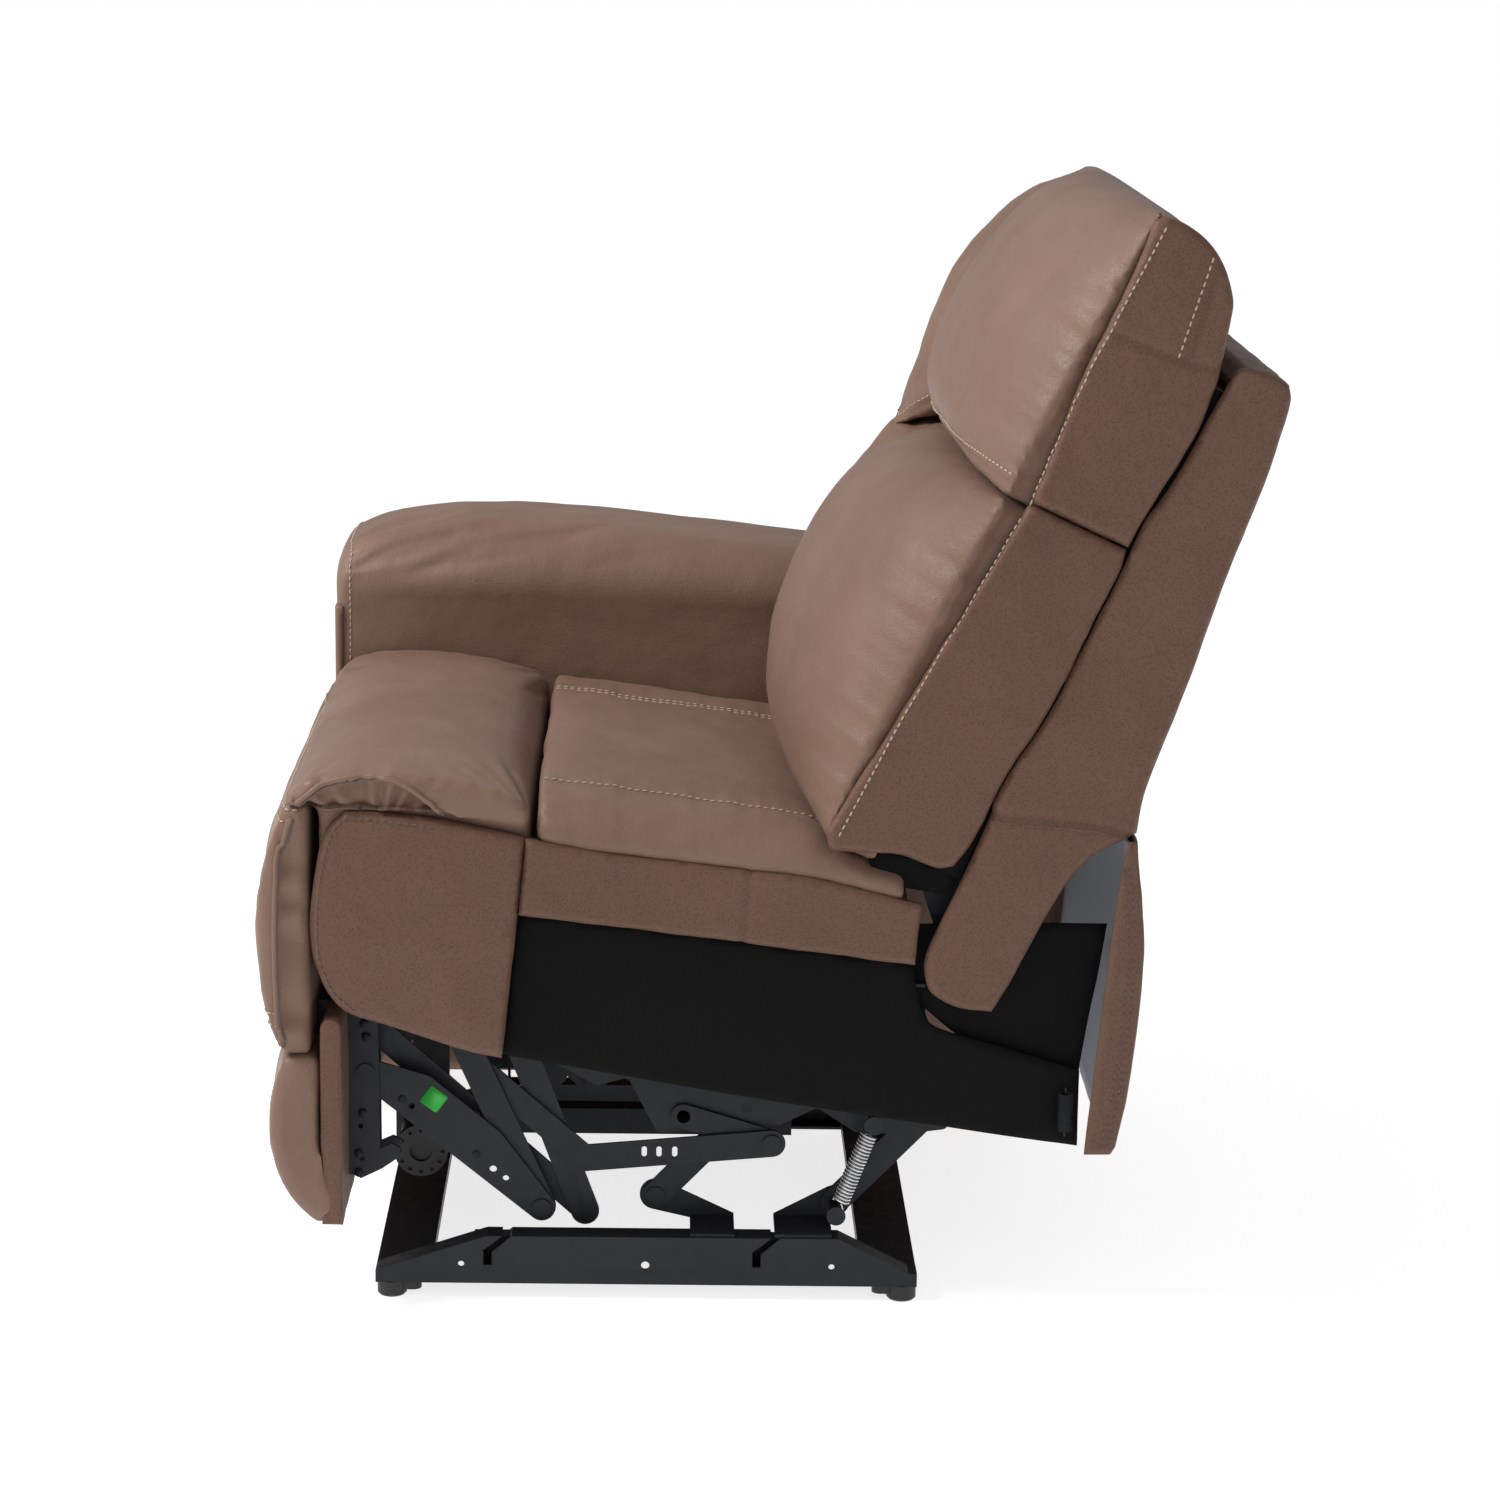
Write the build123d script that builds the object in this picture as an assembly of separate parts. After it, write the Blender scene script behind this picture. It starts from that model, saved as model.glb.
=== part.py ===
from build123d import *
import math
import os

# One-arm power recliner. Millimetres, +Z up, +X towards the open side, -Y towards the front.
# Origin: on the floor, under the middle of the whole chair.

# Overall sizes
HALF_WIDTH = 415.0
FLOOR_GAP = 15.0
SEAT_MIDDLE = 122.5
PLATE = 3.0
LAYER_PITCH = 4.0
LAYER_START = 338.0

# Base frame
RAIL_OUTER = 367.0
RAIL_INNER = 341.0
RAIL_HOLES = ((-276.0, 34.0, 3.0), (-102.0, 34.0, 4.0), (74.0, 34.0, 3.0))
HOOK_NOTCHES = (-251.0, 3.0)
NOTCH_HALF = 4.0
RAIL_TOP = 62.0
FRONT_BEAM = (-357.0, -305.0)
REAR_BEAM = (103.0, 155.0)
BEAM_TOP = 27.0

# Glide parallelogram: four equal swing links between the base and the seat
SWING_BASE_FRONT = (-93.0, 85.0)
SWING_BASE_REAR = (78.0, 80.0)
SWING_REACH = (86.0, 90.0)
SWING_HALF_WIDTH = 13.0

# Footrest linkage pivots at rest
INNER_FRONT_TOP = (-300.0, 298.0)
INNER_FRONT_LOW = (-201.0, 79.0)
OUTER_FRONT_END = (-367.0, 213.0)
INNER_REAR_TOP = (-240.0, 285.0)
INNER_REAR_LOW = (-160.0, 72.0)
OUTER_REAR_END = (-368.0, 258.0)
DRIVE_AXIS = (-67.0, 167.0)
DRIVE_PIN = (17.0, 142.0)
PUSH_BEND = (-160.0, 126.0)
PUSH_END = (-262.9, 216.0)

# Recline pivots
BACK_PIVOT = (190.0, 345.0)
SKIRT_TOP = 446.0
PIN_RADIUS = 5.0
PIN_GAP = 0.06
HEAD_RADIUS = 9.0
SPRING_LOW = SWING_BASE_REAR
SPRING_HIGH = (112.0, 170.0)
SPRING_X = 345.0
SKIRT_SPRING = (285.0, 172.0, 235.0)

# Backrest: a plane through its front edge seam, leaning back
BACK_ORIGIN = (59.0, 468.0)
BACK_LEAN = math.atan(0.5)
HEAD_HINGE = (350.0, 90.0)
LUMBAR_CROWN = -107.0
HEAD_CROWN = -87.0

# Seat box
SIDE_PANEL_INNER = 402.0
SIDE_PANEL_OUTER = 415.0
FABRIC_PANEL = (394.0, 399.0)
WOOD_SIDE = (376.0, 393.0)
WOOD_BOTTOM = 321.0
WOOD_TOP = 385.0
DECK_BOTTOM = 396.0
SEAT_FAR = -163.0
BACK_FAR = 2 * SEAT_MIDDLE - SIDE_PANEL_INNER

# Arm
ARM_INNER = -172.0
ARM_OUTER = -411.0
ARM_FRONT = -437.0
ARM_REAR = 330.0
ARM_BOTTOM = 50.0
ARM_PAD_BOTTOM = 560.0
SKIN = 10.0
CONTROL = (-262.0, 470.0)
BUTTON_SPOTS = ((-24.0, 13.0), (-24.0, -13.0), (24.0, 13.0), (24.0, -13.0))
BUTTON_NAMES = ("button_open", "button_close", "button_head_forward", "button_head_back")


def layer(index):
    """Inner and outer X of one plate layer of the open-side linkage."""
    outer = LAYER_START - LAYER_PITCH * index
    return outer - PLATE, outer


def back_point(along, behind):
    """Side-plane point at a distance along the back's front seam and behind it."""
    lean_sin = math.sin(BACK_LEAN)
    lean_cos = math.cos(BACK_LEAN)
    return (
        BACK_ORIGIN[0] + along * lean_sin + behind * lean_cos,
        BACK_ORIGIN[1] + along * lean_cos - behind * lean_sin,
    )


def outline(points, radius=0.0):
    """Closed face in the side plane, with every corner rounded by radius."""
    face = make_face(Polyline(*points, close=True))
    if radius > 0:
        face = fillet(face.vertices(), radius)
    return face


def slab(face, low, high):
    """Side-plane face given thickness between two X planes."""
    return extrude(Plane.YZ.offset(low) * face, high - low)


def bar(start, end, half_width):
    """Round-ended strip between two pivots, in the side plane."""
    run = Vector(*end) - Vector(*start)
    middle = (Vector(*start) + Vector(*end)) * 0.5
    angle = math.degrees(math.atan2(run.Y, run.X))
    return Pos(middle.X, middle.Y) * Rot(0, 0, angle) * SlotCenterToCenter(run.length, 2 * half_width)


def drilled(face, holes):
    """Face with round holes, each given as y, z and radius."""
    for y, z, radius in holes:
        face -= Pos(y, z) * Circle(radius)
    return face


def rod(centre, radius, low, high):
    """Round rod along X."""
    return Plane.YZ.offset(low) * Pos(*centre) * extrude(Circle(radius), high - low)


def pin(centre, low, high, head_at_high=True, radius=PIN_RADIUS):
    """Shouldered pivot pin along X with one flat head."""
    head = 1.8
    body = rod(centre, radius, low, high)
    start = high - head if head_at_high else low
    return body + rod(centre, HEAD_RADIUS, start, start + head)


def other_side(shape):
    """Same piece on the arm side of the seat."""
    return mirror(shape, about=Plane.YZ.offset(SEAT_MIDDLE))


def both_sides(shapes):
    """Group of the given solids and their mirror images."""
    solids = list(shapes)
    return Compound(solids + [other_side(shape) for shape in solids])


def box(low, high):
    """Block between two corners."""
    size = [high[i] - low[i] for i in range(3)]
    middle = [(high[i] + low[i]) / 2 for i in range(3)]
    return Pos(*middle) * Box(*size)


def hole(centre, radius=PIN_RADIUS + PIN_GAP):
    """Running-fit hole entry for drilled()."""
    return (centre[0], centre[1], radius)


def moved(point, step):
    """Point shifted by a side-plane step."""
    return (point[0] + step[0], point[1] + step[1])


def base_rail():
    """Folded channel on the floor side, with bolt holes and two hook notches."""
    shape = ((-357, 15), (155, 15), (155, 28), (147, 28), (80, RAIL_TOP), (-252, RAIL_TOP), (-357, 27))
    outer = outline(shape)
    inner = offset(outer, -PLATE)
    web = drilled(outer, RAIL_HOLES)
    for y in HOOK_NOTCHES:
        web -= outline(
            (
                (y - NOTCH_HALF, 33), (y + NOTCH_HALF, 33), (y + NOTCH_HALF, 46),
                (y + 24, 63), (y + 15, 63), (y - NOTCH_HALF, 48),
            )
        )
    hollow = slab(inner, RAIL_INNER - 1, RAIL_OUTER - PLATE)
    return slab(web, RAIL_INNER, RAIL_OUTER) - hollow


def base_beam(span):
    """Cross channel between the two rails, open underneath."""
    far_end = 2 * SEAT_MIDDLE - RAIL_INNER
    beam = box((far_end, span[0], FLOOR_GAP), (RAIL_INNER, span[1], BEAM_TOP))
    low = (far_end - 1, span[0] + PLATE, FLOOR_GAP - 1)
    high = (RAIL_INNER + 1, span[1] - PLATE, BEAM_TOP - PLATE)
    trough = box(low, high)
    return beam - trough


def foot(y, inward):
    """Glide with a round tread and a smaller heel beside it."""
    x = (RAIL_INNER + RAIL_OUTER) / 2
    heel_y = y + inward * 20
    tread = Pos(x, y, FLOOR_GAP / 2) * Cylinder(14, FLOOR_GAP)
    tread = chamfer(tread.faces().sort_by(Axis.Z)[0].edges(), 2)
    heel = Pos(x, heel_y, 10.5) * Cylinder(8, 9)
    neck = box((x - 8, min(y, heel_y), 6), (x + 8, max(y, heel_y), FLOOR_GAP))
    return tread + heel + neck


def pivot_bracket(pivot, span):
    """Upright plate that carries a swing pivot, with a foot on top of the rail."""
    low, high = layer(7)
    stand = outline(((span[0], RAIL_TOP), (span[1], RAIL_TOP), (span[1], 66), (span[0], 66)))
    web = make_hull((Pos(*pivot) * Circle(15)).edges() + stand.edges())
    upright = slab(drilled(web, [hole(pivot)]), low, high)
    tread = box((low, span[0], RAIL_TOP), (RAIL_OUTER - PLATE, span[1], RAIL_TOP + PLATE))
    return upright + tread


def swing_link(pivot):
    """Straight link of the glide parallelogram."""
    low, high = layer(6)
    top = moved(pivot, SWING_REACH)
    face = drilled(bar(pivot, top, SWING_HALF_WIDTH), [hole(pivot), hole(top)])
    return slab(face, low, high)


def swing_tube():
    """Square tube that ties the two rear swing links together."""
    middle = moved(SWING_BASE_REAR, (SWING_REACH[0] / 2, SWING_REACH[1] / 2))
    low, high = layer(6)
    half = 9
    far = 2 * SEAT_MIDDLE - low
    tube = box((far, middle[0] - half, middle[1] - half), (low, middle[0] + half, middle[1] + half))
    inside = half - 2
    bore = box(
        (far - 1, middle[0] - inside, middle[1] - inside), (low + 1, middle[0] + inside, middle[1] + inside)
    )
    return tube - bore


def seat_plate():
    """Pressed side plate of the seat mechanism, with a top flange under the wood rail."""
    low, high = layer(5)
    shape = (
        (-326, WOOD_BOTTOM), (-326, 284), (-300, 276), (-240, 262), (-196, 222), (-150, 196), (-120, 204),
        (-92, 150), (-48, 148), (-24, 158), (24, 158), (60, 176), (96, 152), (140, 150), (184, 156),
        (186, 190), (172, 240), (160, 270), (160, WOOD_BOTTOM),
    )
    front_swing_top = moved(SWING_BASE_FRONT, SWING_REACH)
    rear_swing_top = moved(SWING_BASE_REAR, SWING_REACH)
    tight = [hole(p, PIN_RADIUS) for p in (front_swing_top, rear_swing_top, INNER_FRONT_TOP, INNER_REAR_TOP)]
    tight.append(hole(SPRING_HIGH, 4.0))
    tight.append(hole(DRIVE_AXIS, 9.06))
    lightening = [(-190, 262, 12), (-130, 244, 16), (-60, 232, 10), (30, 232, 14), (110, 232, 16)]
    web = slab(drilled(outline(shape, 6), tight + lightening), low, high)
    flange = box((high, -320, WOOD_BOTTOM - PLATE), (WOOD_SIDE[1], 154, WOOD_BOTTOM))
    return web + flange


def inner_link(top, low_pivot, index):
    """Footrest link from the seat plate down to the outer link."""
    low, high = layer(index)
    face = drilled(bar(top, low_pivot, 13.5), [hole(top), hole(low_pivot, PIN_RADIUS)])
    return slab(face, low, high)


def outer_link_front():
    """Long footrest link: wide in the middle, round at both pivots."""
    low, high = layer(1)
    ends = (Pos(*OUTER_FRONT_END) * Circle(12.5)).edges() + (Pos(*INNER_FRONT_LOW) * Circle(13)).edges()
    bellies = (Pos(-318, 188) * Circle(23)).edges() + (Pos(-256, 138) * Circle(22)).edges()
    face = make_hull(ends + bellies)
    holes = [hole(OUTER_FRONT_END), hole(INNER_FRONT_LOW), (-324, 179, 3), (-247, 117, 3.5), (-235, 108, 3)]
    return slab(drilled(face, holes), low, high)


def outer_link_rear():
    """Second footrest link, behind the first."""
    low, high = layer(5)
    face = drilled(bar(INNER_REAR_LOW, OUTER_REAR_END, 12.5), [hole(INNER_REAR_LOW), (-264, 165, 4)])
    return slab(face, low, high)


def push_link():
    """Slotted strip from the drive crank to the front inner link."""
    low, high = layer(3)
    face = bar(PUSH_END, PUSH_BEND, 12) + bar(PUSH_BEND, DRIVE_PIN, 13)
    face = drilled(face, [hole(PUSH_END), hole(DRIVE_PIN)])
    for y in (-104, -90, -75):
        face -= Pos(y, 133) * Rot(0, 0, 90) * SlotOverall(11, 5)
    return slab(face, low, high)


def drive_shaft():
    """Torque tube across the seat with a crank arm at each end and a motor lever."""
    low, high = layer(4)
    far = 2 * SEAT_MIDDLE - high
    tube = rod(DRIVE_AXIS, 9, far, high) - rod(DRIVE_AXIS, 6.5, far - 1, high + 1)
    crank = slab(drilled(bar(DRIVE_AXIS, DRIVE_PIN, 12), [hole(DRIVE_PIN, PIN_RADIUS)]), low, high)
    lever = slab(bar(DRIVE_AXIS, moved(DRIVE_AXIS, (56, -21)), 12), 149, 153)
    bore = rod(DRIVE_AXIS, 6.5, far - 1, high + 1)
    return tube + (crank - bore) + (other_side(crank) - bore) + (lever - bore)


def footrest_bracket():
    """Folded bracket behind the footrest with an ear on each side of the outer links."""
    outer_low, outer_high = layer(0)
    inner_low, inner_high = layer(6)
    shape = (
        (-380, 112), (-372, 108), (-352, 118), (-338, 128), (-334, 138), (-343, 143), (-354, 138), (-355, 284),
        (-411, 284), (-411, 254), (-380, 250),
    )
    face = outline(shape)
    rivets = [(-369, 262, 2.5), (-368, 250, 2.5), (-371, 128, 2.5), (-372, 160, 2.5)]
    outer_ear = slab(drilled(face, rivets + [hole(OUTER_FRONT_END, PIN_RADIUS)]), outer_low, outer_high)
    inner_ear = slab(drilled(face, rivets), inner_low, inner_high)
    web = box((inner_low, -383.5, 112), (outer_high, -380, 250))
    tab = box((inner_low, -411, 254), (outer_high, -408, 284))
    return outer_ear + inner_ear + web + tab


def seat_wire(x):
    """One flat zigzag spring between the front and rear rails of the seat."""
    first, last, waves, half, gauge = -384.0, 128.0, 16, 18.0, 3.6
    step = (last - first) / waves
    points = [(0, first)]
    for wave in range(waves):
        side = half if wave % 2 else -half
        points += [(side, first + (wave + 0.2) * step), (side, first + (wave + 0.8) * step)]
    points.append((0, last))
    strip = trace(Polyline(*points), line_width=gauge)
    return Pos(x, 0, WOOD_TOP) * extrude(strip, gauge)


def seat_cushion():
    """Main seat foam, sloping down to the back."""
    shape = ((-205, DECK_BOTTOM), (136, DECK_BOTTOM), (136, 428), (92, 440), (62, 452), (48, 464), (-205, 496))
    block = slab(outline(shape), -158, SIDE_PANEL_INNER - 2)
    top_edges = block.edges().filter_by(lambda e: e.center().Z > 450 and abs(e.tangent_at(0.5).X) < 0.1)
    long_edges = [e for e in top_edges if abs(e.center().X - SEAT_MIDDLE) > 200 and e.length > 150]
    return fillet(long_edges, 16)


def front_roll():
    """Raised thigh roll at the front of the seat."""
    face = make_face(
        [
            Line((-404, DECK_BOTTOM), (-404, 491)),
            Line((-404, 491), (-434, 491)),
            Spline((-434, 491), (-421, 508), (-380, 519), (-320, 520), (-250, 511), (-209, 494)),
            Line((-209, 494), (-209, DECK_BOTTOM)),
            Line((-209, DECK_BOTTOM), (-404, DECK_BOTTOM)),
        ]
    )
    return slab(face, -158, SIDE_PANEL_INNER - 2)


def front_side_panel():
    """Padded leather panel on the open side, below the thigh roll."""
    shape = (
        (-300, 478), (-378, 484), (-396, 466), (-408, 413), (-410, 358), (-405, 333), (-392, 306), (-376, 292),
        (-347, 283), (-300, 267), (-268, 258), (-236, 251), (-231, 293), (-221, 388), (-215, 460),
    )
    return slab(outline(shape), SIDE_PANEL_INNER, SIDE_PANEL_OUTER)


def side_strip():
    """Leather strip under the edge of the seat cushion."""
    shape = (
        (-220, 388), (-214, 460), (-169, 452), (-124, 446), (-73, 440), (-8, 432), (50, 425), (100, 413),
        (148, 401), (143, 344), (-16, 364), (-73, 371),
    )
    return slab(outline(shape), SIDE_PANEL_INNER, SIDE_PANEL_OUTER)


def fabric_side():
    """Black covered board below the leather, cut away around the back's leg."""
    shape = (
        (-235, 251), (-221, 387), (-73, 370), (-16, 363), (142, 343), (146, 316), (152, 293), (165, 281),
        (225, 262), (298, 240), (298, 168), (285, 170), (158, 187), (-57, 220),
    )
    return slab(outline(shape), *FABRIC_PANEL)


def fabric_side_far():
    """Plain covered board on the arm side."""
    shape = ((-392, 300), (-392, 388), (142, 388), (142, 200), (-57, 220), (-235, 251))
    return slab(outline(shape), SEAT_FAR, SEAT_FAR + 5)


def seat_riser():
    """Plate from the wood side rail back to the recline pivot."""
    shape = make_hull(
        (Pos(*BACK_PIVOT) * Circle(16)).edges() + outline(((70, 328), (112, 328), (112, 380), (70, 380))).edges()
    )
    return slab(drilled(shape, [hole(BACK_PIVOT, PIN_RADIUS)]), 373, 376)


def motor():
    """Round motor with a gearbox, its axis across the chair."""
    y, z = -322.0, 101.0
    can = rod((y, z), 23, 152, 228)
    cap = rod((y, z), 26, 228, 236) - rod((y, z), 11, 232, 237)
    for step in range(12):
        angle = math.radians(30 * step)
        cap -= rod((y + 21 * math.cos(angle), z + 21 * math.sin(angle)), 2, 233, 237)
    gearbox = box((104, y - 30, z - 28), (152, y + 32, z + 28))
    gearbox = fillet(gearbox.edges().filter_by(Axis.X), 10)
    return can + cap + gearbox


def actuator_rail():
    """Straight rail along which the motor's nut block runs."""
    tube = box((116, -290, 88), (140, 42, 114))
    groove = box((119, -289, 91), (137, 43, 111))
    hanger = box((116, 12, 114), (140, 20, 187))
    return (tube - groove) + hanger


def actuator_carriage():
    """Nut block that slides on the rail, with a lug for the motor lever."""
    block = box((111, -32, 83), (145, 8, 119)) - box((115.6, -33, 87.6), (140.4, 9, 114.4))
    lug = box((111, -24, 119), (116, -2, 138))
    return block + box((141, -24, 119), (145, -2, 132)) + lug


def cross_tubes():
    """Square tubes that tie the two seat plates together."""
    low, high = layer(5)
    far = 2 * SEAT_MIDDLE - low
    tubes = []
    for y, z in ((-312, 302), (20, 197)):
        tube = box((far, y - 10, z - 10), (low, y + 10, z + 10))
        tubes.append(tube - box((far - 1, y - 8, z - 8), (low + 1, y + 8, z + 8)))
    return tubes


def motor_hanger():
    """Strap from the front cross tube down to the gearbox."""
    return box((124, -336, 129), (132, -300, 292))


def arm_section(bottom, top_drop):
    """Side-plane outline of the arm from a given bottom up to its sloping top."""
    return (
        (ARM_FRONT, bottom), (ARM_FRONT, 585 - top_drop), (-428, 612 - top_drop), (-405, 636 - top_drop),
        (-360, 646 - top_drop), (-250, 645 - top_drop), (-160, 640 - top_drop), (60, 614 - top_drop),
        (ARM_REAR, 590 - top_drop), (ARM_REAR, bottom),
    )


def arm_pad():
    """Rounded pillow along the top of the arm."""
    side = slab(outline(arm_section(ARM_PAD_BOTTOM, 0)), ARM_OUTER - 4, ARM_INNER)
    middle = (ARM_INNER + ARM_OUTER) / 2
    half = (ARM_INNER - ARM_OUTER) / 2 - 0.5
    crown = make_face(
        [
            Line((middle - half, ARM_PAD_BOTTOM), (middle + half, ARM_PAD_BOTTOM)),
            Line((middle + half, ARM_PAD_BOTTOM), (middle + half, 575)),
            Spline((middle + half, 575), (middle + half * 0.75, 628), (middle, 647),
                   (middle - half * 0.75, 628), (middle - half, 575)),
            Line((middle - half, 575), (middle - half, ARM_PAD_BOTTOM)),
        ]
    )
    length = ARM_REAR - ARM_FRONT + 20
    roof = extrude(Plane.XZ.offset(-ARM_REAR - 10) * crown, length)
    return side & roof


def arm_panel(low, high):
    """Upright side of the arm box."""
    top = ARM_PAD_BOTTOM - 1
    front = ARM_FRONT + SKIN + 1
    shape = ((front, ARM_BOTTOM), (front, top), (ARM_REAR, top), (ARM_REAR, ARM_BOTTOM))
    return slab(outline(shape), low, high)


def arm_front():
    """Upright face at the front of the arm."""
    return box((ARM_OUTER, ARM_FRONT, ARM_BOTTOM), (ARM_INNER, ARM_FRONT + SKIN, ARM_PAD_BOTTOM - 1))


def arm_frame():
    """Wood posts and rails inside the arm."""
    left, right = ARM_OUTER + SKIN + 1, ARM_INNER - SKIN - 1
    front, rear = ARM_FRONT + SKIN + 2, ARM_REAR - 1
    thick = 22
    solids = [
        box((left, front, ARM_BOTTOM), (right, front + thick, 538)),
        box((left, rear - thick, ARM_BOTTOM), (right, rear, 538)),
        box((left, front, 538), (right, rear, 558)),
        box((left, front + thick, ARM_BOTTOM), (left + thick, rear - thick, ARM_BOTTOM + 60)),
        box((right - thick, front + thick, ARM_BOTTOM), (right, rear - thick, ARM_BOTTOM + 60)),
    ]
    return Compound(solids)


def arm_hooks():
    """Steel tongues that drop into the notches of the base rail."""
    web_outer = 2 * SEAT_MIDDLE - RAIL_OUTER
    tongues = []
    for y in HOOK_NOTCHES:
        back_plate = box((ARM_INNER, y - 30, 56), (ARM_INNER + PLATE, y + 30, 120))
        arm = box((ARM_INNER + PLATE, y - 1.5, 70), (web_outer - 4, y + 1.5, 100))
        neck = box((web_outer - 8, y - 1.5, 35), (web_outer - 4, y + 1.5, 70))
        tongue = box((web_outer - 4, y - 1.5, 35), (web_outer + 14, y + 1.5, 46))
        tongues.append(back_plate + arm + neck + tongue)
    return Compound(tongues)


def control_cutout(grow):
    """Space of the control plate's body in the arm's outer skin."""
    y, z = CONTROL
    low = (ARM_OUTER - 3, y - 50 - grow, z - 28 - grow)
    high = (ARM_OUTER + SKIN + 1, y + 50 + grow, z + 28 + grow)
    return box(low, high)


def control_plate():
    """Shallow cup with four button wells."""
    y, z = CONTROL
    cup = box((ARM_OUTER - 2, y - 56, z - 34), (ARM_OUTER, y + 56, z + 34))
    cup = fillet(cup.edges().filter_by(Axis.X), 8)
    cup += box((ARM_OUTER, y - 49, z - 27), (ARM_OUTER + SKIN, y + 49, z + 27))
    for dy, dz in BUTTON_SPOTS:
        cup -= box((ARM_OUTER - 3, y + dy - 19, z + dz - 10), (ARM_OUTER + 7, y + dy + 19, z + dz + 10))
    return cup


def button(spot):
    """Soft-cornered push button."""
    y, z = CONTROL[0] + spot[0], CONTROL[1] + spot[1]
    cap = box((-HALF_WIDTH, y - 18.4, z - 9.4), (ARM_OUTER + 4, y + 18.4, z + 9.4))
    cap = fillet(cap.edges().filter_by(Axis.X), 4)
    return chamfer(cap.faces().sort_by(Axis.X)[0].edges(), 0.8)


def footrest_board():
    """Two plywood boards that carry the footrest pads."""
    upper = box((-126, -430, 256), (371, -412, 484))
    lower = box((-126, -402, 92), (371, -384, 246))
    return Compound([upper, lower])


def footrest_pad_upper():
    """Padded leather face above the cross seam."""
    shape = (
        (-415, 254), (-441, 254), (-453, 290), (-459, 331), (-463, 385), (-456, 430), (-446, 467), (-436, 487),
        (-415, 487), (-415, 485), (-430.5, 485), (-430.5, 255.5), (-415, 255.5),
    )
    core = slab(outline(shape), -126.5, 371.5)
    ends = outline(shape[:9])
    near_end = slab(ends, 371.5, SIDE_PANEL_OUTER)
    far_end = slab(ends, -168, -126.5)
    return core + near_end + far_end


def footrest_pad_lower():
    """Padded leather face below the cross seam."""
    shape = ((-385, 92), (-409, 87), (-430, 108), (-449, 150), (-453, 192), (-447, 228), (-437, 249), (-385, 249))
    block = slab(outline(shape), -168, SIDE_PANEL_OUTER)
    return block - box((-126.5, -402.5, 91.5), (371.5, -380, 246.5))


def back_frame():
    """Bent wood posts and three rails of the backrest."""
    post = [(5, 62), (335, 62), (335, 122), (515, 126), (515, 152), (300, 150), (300, 98), (5, 98)]
    post_face = outline([back_point(*p) for p in post])
    near_post = slab(post_face, 372, 396)
    rails = []
    for first, last, front, rear in ((10, 60, 64, 96), (300, 334, 104, 146), (480, 513, 130, 149)):
        corners = [(first, front), (last, front), (last, rear), (first, rear)]
        rails.append(slab(outline([back_point(*p) for p in corners]), -122.5, 367.5))
    return Compound([near_post, other_side(near_post)] + rails)


def back_hinge_plate():
    """Steel plate from the back frame down to the recline pivot."""
    corners = [(10, 84), (60, 84), (60, 96), (10, 96)]
    top = outline([back_point(*p) for p in corners])
    face = make_hull((Pos(*BACK_PIVOT) * Circle(18)).edges() + top.edges())
    return slab(drilled(face, [hole(BACK_PIVOT)]), 369, 372)


def crowned(profile, edge, crown, low, high):
    """Cushion solid: a side profile cut by a plan whose front bulges from edge to crown."""
    body = slab(outline([back_point(*p) for p in profile]), low, high)
    middle = (low + high) / 2
    rear = 140
    plan = make_face(
        [
            Line((low, rear), (low, edge)),
            Spline((low, edge), (low + 70, edge + (crown - edge) * 0.72), (middle, crown),
                   (high - 70, edge + (crown - edge) * 0.72), (high, edge)),
            Line((high, edge), (high, rear)),
            Line((high, rear), (low, rear)),
        ]
    )
    base = back_point(-60, 0)
    along = (0, math.sin(BACK_LEAN), math.cos(BACK_LEAN))
    across = Plane(origin=(0, base[0], base[1]), x_dir=(1, 0, 0), z_dir=along)
    prism = extrude(across * mirror(plan, Plane.XZ), 760)
    return body & prism


def lumbar_cushion():
    """Lower back cushion, crowned towards the sitter."""
    profile = (
        (-3, 58), (-4, 4), (4, -24), (34, -66), (62, -84), (100, -98), (150, -106), (200, -107), (245, -103),
        (280, -92), (305, -76), (325, -55), (338, -30), (340, 58),
    )
    return crowned(profile, 2, LUMBAR_CROWN, BACK_FAR + 1, SIDE_PANEL_INNER - 1)


def head_cushion():
    """Upper back cushion that tips forward with the head board."""
    profile = (
        (362, 62), (376, 20), (394, -44), (412, -70), (440, -84), (490, -87), (540, -80), (575, -70), (600, -56),
        (614, -42), (624, -26), (633, -6), (632, 36), (612, 76), (592, 96), (540, 99), (362, 99),
    )
    return crowned(profile, 2, HEAD_CROWN, BACK_FAR + 1, SIDE_PANEL_INNER - 1)


def lumbar_side():
    """Leather side band of the lower back cushion."""
    shape = (
        (59, 468), (63, 452), (90, 450), (127, 448), (147, 441), (162, 436), (176, 438), (191, 459), (201, 478),
        (209, 497), (229, 536), (250, 569), (280, 631), (297, 668), (316, 711), (320, 724), (222, 742),
    )
    return slab(outline(shape), SIDE_PANEL_INNER, SIDE_PANEL_OUTER)


def head_side():
    """Leather side band of the head cushion."""
    shape = (
        (326, 741), (254, 834), (275, 879), (300, 933), (322, 983), (337, 1024), (350, 1026), (374, 1014),
        (389, 1000), (401, 979), (408, 953), (407, 937), (400, 896), (398, 886), (385, 848), (368, 814),
        (346, 777),
    )
    return slab(outline(shape), SIDE_PANEL_INNER, SIDE_PANEL_OUTER)


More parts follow.
